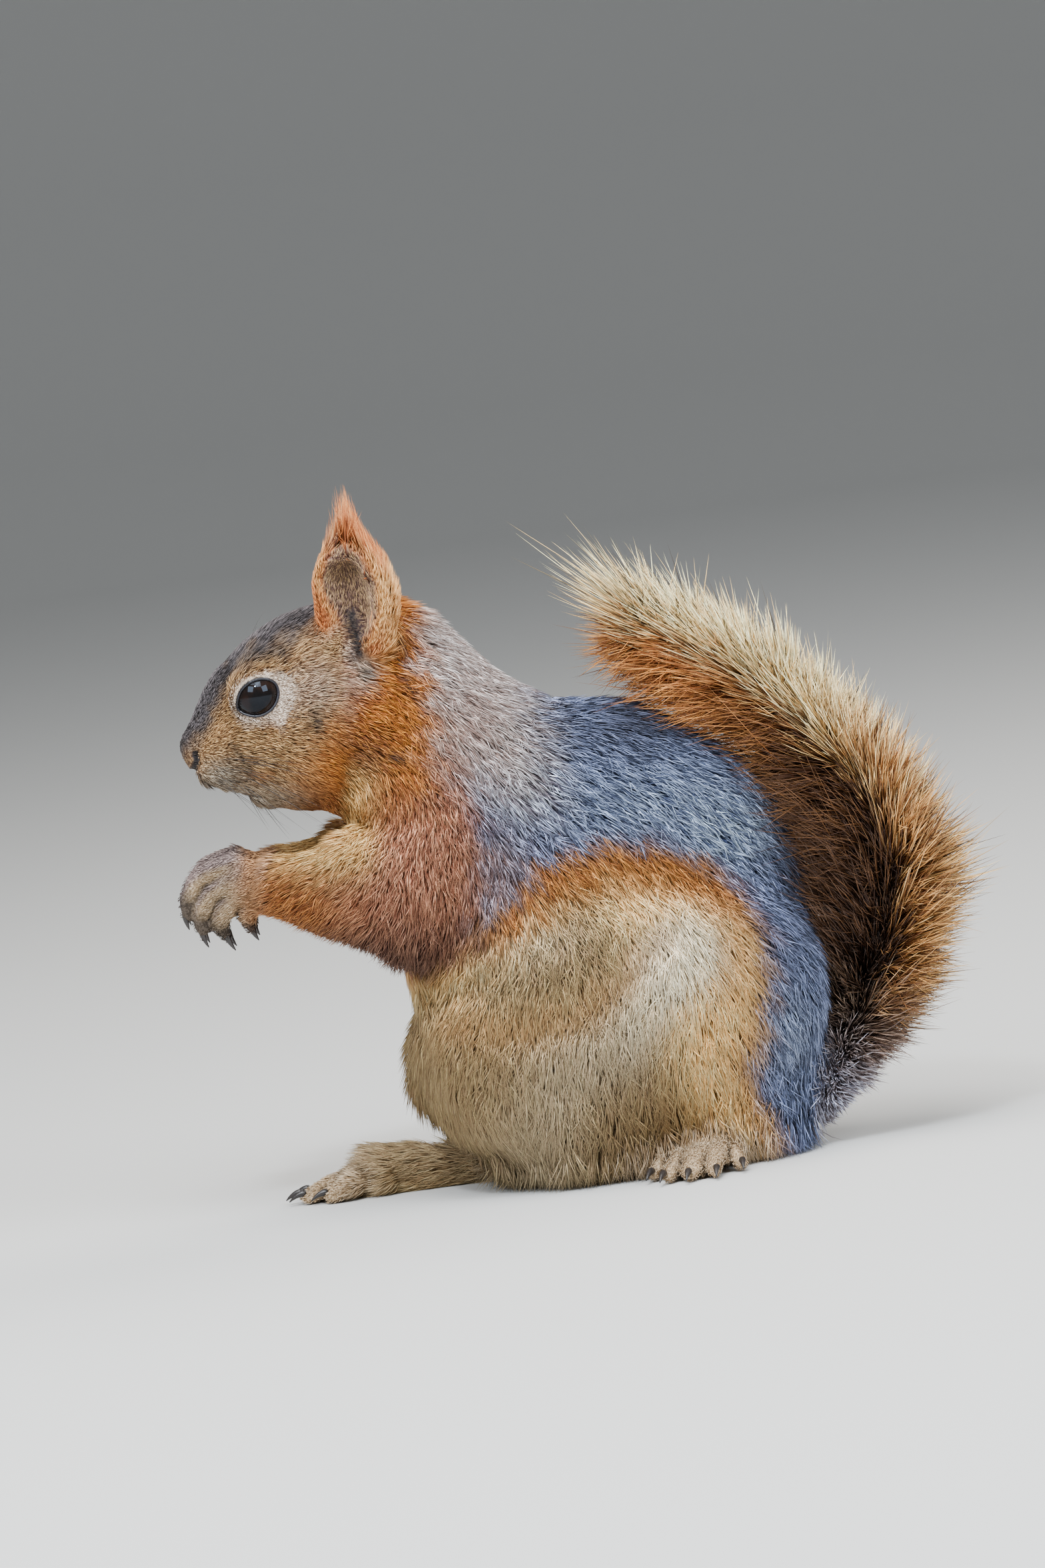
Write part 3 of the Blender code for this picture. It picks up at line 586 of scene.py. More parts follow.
def lid_opening(turn):
    """Half opening of the lids in degrees, by the turn from the back corner of the eye."""
    reach = 1.0 / np.hypot(np.cos(turn) / LID_HALF[0], np.sin(turn) / LID_HALF[1])
    front = np.abs(np.abs(turn) - math.pi)
    reach = reach + 0.55 * np.exp(-((front / 0.32) ** 2)) + 0.15 * np.exp(-((turn / 0.35) ** 2))
    return np.degrees(np.arcsin(np.minimum(reach / LID_EDGE_RADIUS, 0.985)))


def eye_polar(points, side):
    """Distance from the middle of the eye, angle from its axis, and turn round it."""
    centre, axis, along, up = eye_frame(side)
    arm = points - centre
    reach = np.linalg.norm(arm, axis=1)
    angle = np.degrees(np.arccos(np.clip(arm @ axis / np.maximum(reach, 1e-6), -1, 1)))
    return arm, reach, angle, np.arctan2(arm @ up, arm @ along)


def beyond_lid(points):
    """Distance outside the rim of the nearer eye's lids, along the face."""
    side_gap = []
    for side in (-1, 1):
        _, reach, angle, turn = eye_polar(points, side)
        gap = np.radians(angle - lid_opening(turn)) * 6.3 + np.maximum(reach - 9, 0)
        side_gap.append(gap)
    return np.minimum(*side_gap)


def region_weights(surface, line):
    """How much each point belongs to each region."""
    trees, faces, owner = [], [], []
    for name, row in REGIONS.items():
        for node in row[0]:
            co, tris = arrays_of(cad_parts[node].data)
            faces.append(tris + sum(len(t) for t in trees))
            owner += [REGION_NAMES.index(name)] * len(tris)
            trees.append(co)
    tree = BVHTree.FromPolygons(np.vstack(trees).tolist(), np.vstack(faces).tolist())
    nearest = np.array([owner[tree.find_nearest(p)[2]] for p in surface.co.tolist()])
    near_line = np.full(len(surface.co), 1e9)
    for point in line:
        near_line = np.minimum(near_line, np.linalg.norm(surface.co - point, axis=1))
    nearest[near_line < 6.3] = REGION_NAMES.index("tail")
    weights = np.zeros((len(nearest), len(REGION_NAMES)))
    weights[np.arange(len(nearest)), nearest] = 1.0
    return surface.spread(weights, 14)


def lie_of_coat(points, normals, weights):
    """Direction of the hair along the skin at each point."""
    side = np.where(points[:, 1] < 0, -1.0, 1.0)
    folded = points * np.stack([np.ones_like(side), side, np.ones_like(side)], 1)
    total = np.zeros_like(points)
    for place, direction in LIE:
        pull = 1.0 / (((folded - place) ** 2).sum(1) + 12.0) ** 1.6
        total += pull[:, None] * unit(np.array(direction, float))
    total = unit(total)
    total[:, 1] *= side
    for name, direction in REGION_LIE.items():
        share = smooth(0.3, 0.8, weights[:, REGION_NAMES.index(name)])[:, None]
        total = total * (1 - share) + unit(np.array(direction, float)) * share
    total -= normals * (total * normals).sum(1, keepdims=True)
    return unit(total)


def paw_gaps(points):
    """Where the gaps between the fingers and toes are, and how far each point is along its digit."""
    folded = np.abs(points) * np.array((0, 1, 0)) + points * np.array((1, 0, 1))
    gaps, ends = np.zeros(len(points)), np.zeros(len(points))
    foot_chains = []
    for name in SIDES:
        toward = np.array(REGION_LIE[name + " foot"])
        tips = list(toe_tips(name))
        beside = unit(tips[-1][0] - tips[0][0])
        half = np.linalg.norm(tips[-1][0] - tips[0][0]) / 2
        for share, (tip, *_) in zip(TOE_SPREAD, tips):
            base = tip - toward * 15 - beside * share * half * 0.42
            foot_chains.append((name, (base, tip)))
    groups = [(folded, FINGERS)]
    groups += [(points, [chain for owner, chain in foot_chains if owner == name]) for name in SIDES]
    for places, chains in groups:
        reach = np.array([solid_distance(chain, places) for chain in chains])
        order = np.sort([r[0] for r in reach], axis=0)
        nearest = np.argmin([r[0] for r in reach], axis=0)
        ahead = np.take_along_axis(np.array([r[1] for r in reach]), nearest[None], 0)[0]
        near = smooth(6.5, 4.5, order[0]) * smooth(0.12, 0.4, ahead)
        gaps = np.maximum(gaps, np.exp(-((order[1] - order[0]) / 1.1) ** 2) * near)
        ends = np.maximum(ends, near * smooth(0.5, 0.85, ahead))
    return gaps, ends


def solid_distance(chain, points):
    """Distance from a chain of points in space, and the share of its length at the nearest place."""
    chain = np.asarray(chain, float)
    runs = np.concatenate([[0], np.cumsum(np.linalg.norm(np.diff(chain, axis=0), axis=1))])
    best, share = np.full(len(points), 1e9), np.zeros(len(points))
    for k in range(len(chain) - 1):
        step = chain[k + 1] - chain[k]
        t = np.clip(((points - chain[k]) @ step) / (step @ step), 0, 1)
        apart = np.linalg.norm(points - chain[k] - t[:, None] * step, axis=1)
        share = np.where(apart < best, (runs[k] + t * (runs[k + 1] - runs[k])) / runs[-1], share)
        best = np.minimum(best, apart)
    return best, share


def sculpt_ears(surface, share):
    """Round the top of each ear below its tuft, and hollow it behind a thin rim."""
    side = np.sign(surface.co[:, 1])
    x, out, z = surface.co[:, 0], np.abs(surface.co[:, 1]), surface.co[:, 2]
    share = np.clip(share + spot(x, z - SIDE_RISE * out, *EAR_ROOT) * smooth(8, 11, out), 0, 1)
    top = np.maximum(z - 156, 0) * share
    lower = z - top + 12 * (1 - np.exp(-top / 12))
    normals = surface.normals()
    facing = smooth(0.05, 0.5, normals[:, 1] * side * 0.88 - normals[:, 0] * 0.47) * share
    depth = depth_inside(EAR_OPENING, x, lower - SIDE_RISE * out)
    hollow = facing * (2.8 * smooth(0, 4, depth) - 0.6 * np.exp(-((depth + 0.6) / 0.9) ** 2))
    inward = hollow * math.cos(EAR_TURN)
    surface.co = np.stack([x + hollow * math.sin(EAR_TURN), (out - inward) * side, lower], 1)


def sculpt_lids(surface):
    """A raised lid round each eye; the skin behind its opening sinks inside the eyeball."""
    for side in SIDES.values():
        centre = eye_frame(side)[0]
        arm, reach, angle, turn = eye_polar(surface.co, side)
        beyond = angle - lid_opening(turn)
        near = (reach < LID_REACH) & (angle < LID_ANGLE)
        lid = LID_RADIUS - 0.5 * np.exp(-((beyond / 6.0) ** 2))
        lid = np.where(beyond < -3, SOCKET_RADIUS, lid)
        blend = smooth(6, 38, beyond)
        wanted = lid * (1 - blend) + np.maximum(reach, lid) * blend
        moved = centre + arm * (wanted / np.maximum(reach, 1e-6))[:, None]
        surface.co = np.where(near[:, None], moved, surface.co)


def sculpt(surface, weights):
    """Lids, ears and gaps between the digits, then the folds of body and arm, then chin, pads, nostrils and mouth."""
    sculpt_lids(surface)
    sculpt_ears(surface, share_of(weights, "ear"))
    sink = (0.9 + 1.8 * share_of(weights, "left foot", "right foot")) * paw_gaps(surface.co)[0]
    surface.co = surface.co - surface.normals() * sink[:, None]
    x, out, z = surface.co[:, 0], np.abs(surface.co[:, 1]), surface.co[:, 2]
    normals = surface.normals()
    level = z - SIDE_RISE * out
    fold = stripe(FOLD, x, level, 5.6) * smooth(12, 20, out) * smooth(-52, -18, x)
    knee = spot(x, level, 9, 49, 11, 11) * smooth(18, 26, out)
    crook = spot(x, level, -67, 93, 6, 4.5) * smooth(0.1, 0.6, normals[:, 2]) * smooth(6, 12, out)
    surface.co = surface.co + normals * (1.6 * knee - 1.35 * fold)[:, None] + crook[:, None] * (-0.8, 0, 3.6)
    under = np.clip(np.interp(x, *CHIN_LINE) - level, 0, 6) * smooth(-82, -87, x) * smooth(98, 100, z)
    surface.co[:, 2] += 0.9 * under
    z, level = z + 0.9 * under, level + 0.9 * under
    pad = spot(x, level, -97, 111.5, 5, 3.5) * smooth(2, 4, out)
    surface.co = surface.co + normals * (pad * 0.9)[:, None]
    nostril = stripe(NOSTRIL, x, level, 0.7) * smooth(1.6, 2.8, out) * 1.3
    mouth = stripe(MOUTH, x, level, 0.7) * 0.8
    lip = stripe(LIP_CREASE, x, z, 0.6) * (out < 1.2) * 0.6
    surface.co = surface.co - normals * (nostril + mouth + lip)[:, None]


def growth(region):
    """By how much a region's solids grow before they are fused."""
    return PAW_GROWTH if "hand" in region or "foot" in region else BODY_GROWTH


def build_skin(voxel):
    """The skin inside the coat, with its regions' weights and the tail's middle line."""
    outline = tail_outline()
    line = tail_line(outline)
    bm = bmesh.new()
    for name, row in REGIONS.items():
        for node in row[0]:
            add_solid(bm, node, growth(name))
    for side in (-1, 1):
        place = Matrix.Translation(Vector((EYE_PLACE * (1, side, 1) + HIPS) * MM))
        bmesh.ops.create_icosphere(bm, subdivisions=3, radius=EYE_MOUND * MM, matrix=place)
    radii = np.interp(np.linspace(0, 1, len(line)), *TAIL_CORE)
    stop = len(line) - 4
    bmesh.ops.recalc_face_normals(bm, faces=bm.faces)
    add_tube(bm, line[:stop], radii[:stop])
    surface = fused(bm, voxel)
    weights = region_weights(surface, line)
    passes = weights @ np.array([row[1] for row in REGIONS.values()], float)
    for step in range(int(passes.max()) + 1):
        amount = 0.5 * np.clip(passes - step, 0, 1)[:, None]
        surface.co = surface.co * (1 - amount) + surface.around(surface.co) * amount
    grown = weights @ np.array([growth(name) for name in REGION_NAMES])
    depth = weights @ np.array([row[2] for row in REGIONS.values()])
    inward = (depth + grown) * (1 - share_of(weights, "tail"))
    calm = smooth(8, 30, passes)[:, None] * 0.5
    for _ in range(4):
        surface.co = surface.co - surface.normals() * (inward / 4)[:, None]
        surface.co = surface.co * (1 - calm) + surface.around(surface.co) * calm
    eyes = beyond_lid(surface.co)
    x, z = surface.co[:, 0], surface.co[:, 2]
    fine = (eyes < 4.0) | ((x < -96) & (z > 100)) | (chain_distance(MOUTH, x, z) < 2.5)
    surface.refine(fine[surface.tris].all(1))
    weights = region_weights(surface, line)
    sculpt(surface, weights)
    surface.co[:, 2] = np.maximum(surface.co[:, 2], 0.0)
    return surface, weights, outline, line


def nearest_step(points, line):
    """Which point of the tail's middle line is nearest to each point."""
    return np.argmin([((points - p) ** 2).sum(1) for p in line], axis=0)


def tail_shades(points, line):
    """How pale, how dark and how red the tail is at points in and on its coat."""
    place = nearest_step(points, line)
    share = place / (len(line) - 1)
    ahead = unit(np.gradient(line, axis=0))[place]
    outward = -np.cross(ahead, (0, 1, 0))
    outer = ((points - line[place]) * outward).sum(1)
    outer = outer + ripple(points, 11, 51) * 1.6 + ripple(points, 4.5, 52) * 2.4
    spread = np.interp(share, (0, 0.4, 0.6, 0.85, 1), (-3, -1, 11, 9, 4))
    paler = np.interp(share, (0, 0.35, 0.5, 0.62, 0.85, 1), (0, 0.05, 0.3, 0.95, 1, 0.9))
    pale = np.maximum(smooth(0, 19, outer + spread) * paler, 0.75 * smooth(0.92, 1, share))
    # The dark inner side, and the dark line along its inner edge, are dark hair and painted shadow where the tail
    # lies against the back.
    darker = np.interp(share, (0, 0.1, 0.3, 0.45, 0.6, 0.8, 0.9, 1), (0.4, 1, 1, 0.8, 0.95, 0.6, 0.2, 0.1))
    dark = smooth(7 + 7 * smooth(0.42, 0.15, share), -3, outer + 0.6 * np.maximum(spread, 0)) * darker
    dark = np.maximum(dark, 0.85 * smooth(-5.5, -9, outer) * smooth(0.9, 0.8, share))
    redder = np.interp(share, (0, 0.62, 0.82, 0.93, 1), (0, 0.15, 1, 0.9, 0.3))
    middle = 0.36 * smooth(-2, 7, outer) * smooth(17, 10, outer) * smooth(0.7, 0.5, share)
    return pale, dark, np.maximum(smooth(4, -6, outer) * redder, middle)


def markings(surface, weights, line):
    """The mask of every marking but the first, in their order."""
    w = {name: weights[:, k] for k, name in enumerate(REGION_NAMES)}
    normals = surface.normals()
    x, out = surface.co[:, 0], np.abs(surface.co[:, 1])
    z = surface.co[:, 2] - SIDE_RISE * out
    ragged = ripple(surface.co, 7, 11) * 1.1 + ripple(surface.co, 3, 12) * 0.6
    head = w["head"] + w["muzzle"] + w["jaw"] + w["nose"]
    inside = depth_inside(PALE_FLANK, x, z) + ragged
    mask = {}
    mask["nape"] = smooth(-6, -26, x + ragged) * smooth(85, 112, z + 0.4 * x + 12)
    mask["nape"] = np.maximum(mask["nape"], 0.25 * smooth(-18, -30, x) * smooth(92, 84, z))
    mask["tan"] = smooth(-2.5, 4.5, inside)
    mask["buff"] = smooth(9, 22, inside + 5 * smooth(18, -6, x)) * smooth(13, -5, x + 0.25 * (z - 30))
    # Painted shade in the fold: less buff, so the warmer tan shows along it.
    mask["buff"] *= 1 - 0.3 * stripe(FOLD, x, z, 5)
    flow = stripe(PALE_STREAM, x, z, np.interp(x, (-30, 8), (11, 7)))
    # The spot at the knee is a painted highlight where light falls; the stream below it and the faint spot at the
    # front of the belly are pale fur.
    pale = 1.2 * spot(x, z, 10, 52, 9, 8) + flow * np.interp(x, (-30, -9, 5), (0.22, 0.34, 0.9))
    mask["cream"] = np.minimum(1, pale + 0.3 * spot(x, z, -30, 60, 13, 5)) * mask["tan"]
    behind = smooth(-9 - 5 * smooth(128, 115, z), 5, x - border(COLLAR_FRONT, z) + ragged)
    fade = np.interp(z, (100, 112, 125), (9.5, 7.5, 4))
    before = smooth(1, -1, (x - border(COLLAR_BACK, z) + 1.5 * ragged) / fade)
    collar = behind * before * smooth(56, 62, z)
    reach = 7 + 10 * smooth(55, 72, z)
    band = smooth(-4.5, 3, inside) * smooth(reach + 3, 2, inside) * (0.42 + 0.54 * smooth(50, 68, z))
    wrist = 0.8 * w["forearm"] * smooth(-66, -80, x)
    arm = np.clip(w["upper arm"] + w["forearm"], 0, 1)
    mask["rufous"] = np.clip(collar * smooth(110, 88, z), 0, 1) * smooth(-80, -60, x) * 0.9
    mask["rufous"] = np.maximum(mask["rufous"], arm * 0.7 * before * smooth(56, 62, z))
    mask["rufous"] = np.maximum(mask["rufous"] * (1 - wrist), spots(x, z, RUFOUS_SPOTS))
    mask["orange"] = np.maximum.reduce([
        band, collar, wrist, w["hand"] + 0.6 * w["left foot"],
        0.4 * spot(x, z, 24, 50, 6, 12) * smooth(28, 32, out + 8),
        # The stripe along the fold is painted shade in its crease.
        0.28 * stripe(FOLD, x, z + 1.5, 5), spots(x, z, BLUSH_SPOTS) * head,
    ])
    mask["stream"] = stripe(ARM_STREAM, x, z, 5.6) * smooth(0.1, 0.5, arm + w["neck"] + w["chest"]) * (1 - head)
    # Painted sheen: the flank, shoulder and hip are paler and bluer where sky light falls on them.
    mask["silver"] = np.minimum(1, spots(x, z, SKY_SHEEN_SPOTS))
    temple = spot(x, z, -69, 131, 6, 7)
    mask["nape"] = np.maximum(mask["nape"], 0.6 * temple * head)
    mask["face"] = head * (1 - 0.3 * temple)
    mask["crown"] = smooth(-4, 5, z - np.interp(x, *zip(*CROWN)) + ragged) * np.clip(head + w["neck"], 0, 1)
    mask["crown"] *= smooth(-42, -50, x)
    mask["pad"] = np.clip(spots(x, z, PAD_SPOTS), 0, 1) * np.clip(head + w["ear"] + w["neck"], 0, 1)
    eyes = beyond_lid(surface.co)
    ring = 1.5 - 0.7 * smooth(131, 138, z) + (0.1 + 0.6 * smooth(127, 133, z)) * smooth(-84, -79, x)
    mask["ring"] = smooth(1.0, -0.8, eyes - ring + 0.3 * ragged) * 0.95
    notch = 0.95 * spot(x, z, -56.8, 133, 2.3, 4.2) * smooth(9, 12, out)
    mask["ring"] = np.maximum(mask["ring"], notch)
    mask["nape"] = np.maximum(mask["nape"], w["ear"] * smooth(-56, -50, x))
    mask["ear_red"] = w["ear"] * (1 - 0.5 * smooth(-55, -49, x) * smooth(160, 154, z)) * (1 - notch)
    folded = surface.co * np.stack([np.ones_like(x), np.where(surface.co[:, 1] < 0, -1, 1), np.ones_like(x)], 1)
    facing = (normals[:, 1] * np.sign(surface.co[:, 1]) > 0.15) | (folded[:, 1] < 15.5)
    hollow = depth_inside(EAR_OPENING, x, z)
    pinna = np.clip(1.5 * w["ear"] + 1.4 * spot(x, z, *EAR_ROOT) * smooth(8, 11, out), 0, 1)
    mask["ear_brown"] = pinna * smooth(0.2, 1.4, hollow) * facing * (1 - notch)
    rim = np.exp(-((hollow + 0.2) / 0.7) ** 2) * w["ear"] * facing
    mask["ear_red"] = mask["ear_red"] * (1 - 0.4 * rim)
    mask["stream"] = np.maximum(mask["stream"], w["ear"])
    feet = (w["left foot"] + w["right foot"]) * (1 - 0.85 * smooth(-82, -68, x) * smooth(-40, -50, x))
    mask["paw"] = np.clip(w["hand"] * (1 - 0.6 * smooth(-100, -93, x)) + feet, 0, 1)
    mask["knuckle"] = w["hand"] * smooth(-92, -97, x) * smooth(-0.4, 0.5, normals[:, 2])
    mask["knuckle"] = np.maximum(mask["knuckle"], head * spot(x, z, -103.9, 114.3, 1.4, 1.2))
    tail = w["tail"]
    mask["tail_gold"] = tail * smooth(0.04, 0.2, nearest_step(surface.co, line) / (len(line) - 1))
    mask["nape"] = np.maximum(mask["nape"], 0.5 * tail * smooth(62, 45, z))
    for name, shade in zip(TAIL_MARKINGS, tail_shades(surface.co, line)):
        mask[name] = mask["tail_gold"] * shade
    # Where the skin faces down, for the painted shade under the arm.
    under = smooth(0.0, -0.8, normals[:, 2]) * smooth(10, 16, out)
    edge = np.exp(-((inside - 2) / 3.2) ** 2) * smooth(45, 62, z) * smooth(-34, -24, x)
    gaps, ends = paw_gaps(surface.co)
    # Real dark marks, and painted shade as noted on the lines below.
    mask["dark"] = np.clip(np.maximum.reduce([
        # Painted shade in the openings of the nostrils.
        smooth(1.3, 0.6, chain_distance(NOSTRIL, x, z)) * smooth(1.2, 2.2, out),
        stripe(MOUTH, x, z, 0.55) * 0.8,
        # Painted shade in the ear canal.
        stripe(EAR_CANAL, x, z, 2.0) * pinna,
        0.5 * stripe(BROW, x, z, 1.6) * head,
        strongest(x, z, WHISKER_DOTS) * smooth(4, 6, out),
        # Painted shade in the crease behind the whisker pad.
        0.5 * stripe(CREASE, x, z, 0.9) * smooth(4, 7, out),
        strongest(x, z, SMUDGES) * smooth(4, 7, out),
        # Painted shadow below the lower lip.
        0.7 * spot(x, z, -89.8, 107, 1.8, 1.1) * head,
        # Painted shade: darker on the underside of the arm and low on it, where less light falls.
        (0.3 * under + 0.42 * smooth(76, 64, z)) * arm,
        # Painted shade where shadow falls on the coat.
        strongest(x, z, SHADE_SPOTS),
        0.2 * edge,
        0.9 * smooth(0.3, 0.7, w["hand"]) * ends,
        smooth(0.7, 0.2, eyes),
        0.45 * smooth(-101.5, -103.5, x) * head,
        # Painted shade in the gaps between the fingers and toes.
        0.8 * gaps,
        0.13 * w["hand"],
    ]), 0, 1)
    return np.stack([np.clip(mask[name], 0, 1) for name in MARKINGS[1:]], 1)


# ---------------------------------------------------------------- the coat

def scattered(surface, chosen, amount, seed):
    """Roots spread evenly over the chosen triangles, amount to a square mm: the corners round each and its place."""
    rng = np.random.default_rng(seed)
    tris = surface.tris[chosen]
    expected = np.cumsum(surface.areas()[chosen] * amount[tris].mean(1))
    count = int(expected[-1])
    faces = np.searchsorted(expected, np.arange(count) + rng.random(count))
    faces = np.minimum(faces, len(tris) - 1)
    a, b = rng.random(count), rng.random(count)
    over = a + b > 1
    a, b = np.where(over, 1 - a, a), np.where(over, 1 - b, b)
    return tris[faces], np.stack([1 - a - b, a, b], 1)


def blended(values, corners, shares):
    """Values at the roots, from those at the corners of their triangles."""
    picked = values[corners]
    if values.ndim == 1:
        return (picked * shares).sum(1)
    return (picked * shares[:, :, None]).sum(1)


def tuft_arrays(spines, radii, ups):
    """Closed three-sided tufts along their spines, each pointed at both ends."""
    count, steps = spines.shape[0], spines.shape[1] - 1
    rings = steps - 1
    ahead = unit(np.gradient(spines, axis=1))
    ups = unit(ups[:, None, :] - ahead * (ups[:, None, :] * ahead).sum(2, keepdims=True))
    across = np.cross(ups, ahead)
    corners = [math.tau * k / 3 for k in range(3)]
    around = np.stack([across * math.cos(a) + ups * math.sin(a) for a in corners], 2)[:, 1:steps]
    body = spines[:, 1:steps, None, :] + around * radii[:, 1:steps, None, None]
    co = np.concatenate([spines[:, :1], body.reshape(count, rings * 3, 3), spines[:, -1:]], 1)
    faces, places = [], []
    for k in range(3):
        u, v = k / 3, (k + 1) / 3
        after = (k + 1) % 3
        for j in range(rings - 1):
            a, b = 1 + 3 * j + k, 1 + 3 * j + after
            low, high = (j + 1) / steps, (j + 2) / steps
            faces += [(a, b, b + 3), (a, b + 3, a + 3)]
            places += [((u, low), (v, low), (v, high)), ((u, low), (v, high), (u, high))]
        faces += [(0, 1 + after, 1 + k), (3 * rings - 2 + k, 3 * rings - 2 + after, 3 * rings + 1)]
        places += [((u, 0.0), (v, 1 / steps), (u, 1 / steps)), ((u, rings / steps), (v, rings / steps), (u, 1.0))]
    offsets = np.arange(count)[:, None, None] * (3 * rings + 2)
    tris = (np.array(faces)[None] + offsets).reshape(-1, 3)
    return co.reshape(-1, 3), tris, np.array(places).reshape(-1, 2)


def bake_places(surface, chosen, roots):
    """Each root's place on an unwrap of the skin's own shape."""
    used, tris = np.unique(surface.tris[chosen], return_inverse=True)
    mesh = mesh_from("unwrap", surface.co[used], tris.reshape(-1, 3))
    shape = bpy.data.objects.new("unwrap", mesh)
    bpy.context.scene.collection.objects.link(shape)
    thin = shape.modifiers.new("thin", "DECIMATE")
    thin.ratio = min(1.0, 2500 / len(tris.reshape(-1, 3)))
    graph = bpy.context.evaluated_depsgraph_get()
    shape.data = bpy.data.meshes.new_from_object(shape.evaluated_get(graph))
    shape.modifiers.clear()
    bpy.data.meshes.remove(mesh)
    bpy.ops.object.select_all(action="DESELECT")
    shape.select_set(True)
    bpy.context.view_layer.objects.active = shape
    bpy.ops.object.mode_set(mode="EDIT")
    bpy.ops.mesh.select_all(action="SELECT")
    bpy.ops.uv.smart_project(angle_limit=1.15, island_margin=0.004)
    bpy.ops.object.mode_set(mode="OBJECT")
    mesh = shape.data
    mesh.calc_loop_triangles()
    loops = np.array([t.loops[:] for t in mesh.loop_triangles])
    uv = np.empty(len(mesh.loops) * 2, np.float32)
    mesh.uv_layers.active.data.foreach_get("uv", uv)
    uv = uv.reshape(-1, 2)[loops]
    co, tris = arrays_of(mesh)
    tree = BVHTree.FromPolygons(co.tolist(), tris.tolist())
    found = [tree.find_nearest(p) for p in roots.tolist()]
    hits = np.array([tuple(f[0]) for f in found])
    face = np.array([f[2] for f in found])
    a, b, c = (co[tris[face, k]] for k in range(3))
    whole = np.linalg.norm(np.cross(b - a, c - a), axis=1) + 1e-12
    wa = np.linalg.norm(np.cross(b - hits, c - hits), axis=1) / whole
    wb = np.linalg.norm(np.cross(c - hits, a - hits), axis=1) / whole
    shares = np.stack([wa, wb, np.maximum(0, 1 - wa - wb)], 1)
    bpy.data.objects.remove(shape)
    bpy.data.meshes.remove(mesh)
    return np.clip((uv[face] * shares[:, :, None]).sum(1), 0.001, 0.996)


def coat_piece(name, surface, chosen, spines, radii, ups, masks, chance, material, slot):
    """One piece of the coat, with its markings and its map for baking."""
    co, tris, places = tuft_arrays(spines, radii, ups)
    co[:, 2] = np.maximum(co[:, 2], 0.05)
    mesh = mesh_from(name, co, tris)
    steps = spines.shape[1] - 1
    per_tuft = 3 * steps - 1
    along = np.concatenate([[0.0], np.repeat(np.arange(1, steps) / steps, 3), [1.0]])
    put_values(mesh, "along", np.tile(along, len(spines)))
    put_values(mesh, "chance", np.repeat(chance, per_tuft))
    put_masks(mesh, np.repeat(masks, per_tuft, axis=0))
    corners = bake_places(surface, chosen, spines[:, 0])
    patch = places[None] * TUFT_PATCH + corners[:, None, :]
    layer = mesh.uv_layers.new(name="OFBake")
    layer.data.foreach_set("uv", patch.astype(np.float32).ravel())
    mesh.materials.append(material)
    return placed(name, mesh, slot)


def put_masks(mesh, masks):
    """Store the masks as colour attributes, four in each."""
    padded = np.zeros((len(masks), MASK_SETS * 4), np.float32)
    padded[:, :masks.shape[1]] = masks
    for k in range(MASK_SETS):
        put_values(mesh, "marks_%d" % (k + 1), padded[:, 4 * k:4 * k + 4])


def coat_growth(surface, weights, sizes, density):
    """At each point of the skin: how the coat lies, its depth, length, number to a square mm and thickness, and the
    share of the ear's crest."""
    normals = surface.normals()
    lie = lie_of_coat(surface.co, normals, weights)
    table = np.array([row[2:6] for row in REGIONS.values()])
    depth, length, amount, width = (weights @ table).T
    eyes = beyond_lid(surface.co)
    x, out, z = surface.co[:, 0], np.abs(surface.co[:, 1]), surface.co[:, 2]
    level = z - SIDE_RISE * out
    amount = amount * density * (eyes > 0.3) * (z > 0.15)
    length = length * sizes.length * (1 - 0.62 * smooth(5, 0.5, eyes))

    # The tuft on top of the ear gathers towards one point; below it the fur behind the ear stands up.
    ear = share_of(weights, "ear")
    behind = smooth(0.35, -0.1, normals[:, 1] * np.sign(surface.co[:, 1]) * 0.88 - normals[:, 0] * 0.47)
    crest = smooth(151, 161, z) * ear * behind
    length = length + crest * (4 + 9 * smooth(158, 165, z))
    side = np.sign(surface.co[:, 1])[:, None]
    aim = EAR_TIP * np.hstack([side ** 2, side, side ** 2]) - surface.co
    length = np.where(crest > 0.3, np.clip(length, 0, 0.95 * np.linalg.norm(aim, axis=1)), length)
    lie = unit(lie * (1 - crest[:, None]) + crest[:, None] * unit(aim))
    low = weights[:, [REGION_NAMES.index(n) for n in ("belly", "thigh", "rump")]].sum(1)
    hang = low * smooth(0.15, -0.5, normals[:, 2]) * smooth(20, 10, z)
    lie = unit(lie * (1 - hang[:, None]) + hang[:, None] * unit(np.array((-0.15, 0, -1)) + 0.3 * normals))
    length = np.where(hang > 0.4, np.minimum(length + 3, z + 1.5), length)
    scruff = ear * behind * smooth(-54, -49, x) * smooth(163, 155, z) * smooth(140, 148, z)
    length, depth = length + 3 * scruff, depth + 2 * scruff

    # Nose, gaps between the digits, ankle, lips and the hollow of the ear.
    bare = stripe(NOSTRIL, x, level, 1.2) + 0.8 * smooth(-104.2, -105.4, x)
    gaps, ends = paw_gaps(surface.co)
    amount = amount * np.clip(1 - bare, 0, 1) * (1 - 0.8 * gaps)
    length = length * (1 - 0.45 * ends)
    ankle = share_of(weights, "right foot") * smooth(-84, -68, x)
    length, depth = length + 6 * ankle, depth + 1.8 * ankle
    length = length + 1.5 * stripe(MOUTH, x, level, 1.8) * (out < 8) * (amount > 5 * density)
    canal = stripe(EAR_CANAL, x, level, 2.8) * smooth(8, 11, out)
    before = spot(x, level, -63, 141, 4.5, 6) * smooth(8, 11, out)
    return lie, depth, length * (1 - 0.5 * before), amount * (1 - canal), width, crest


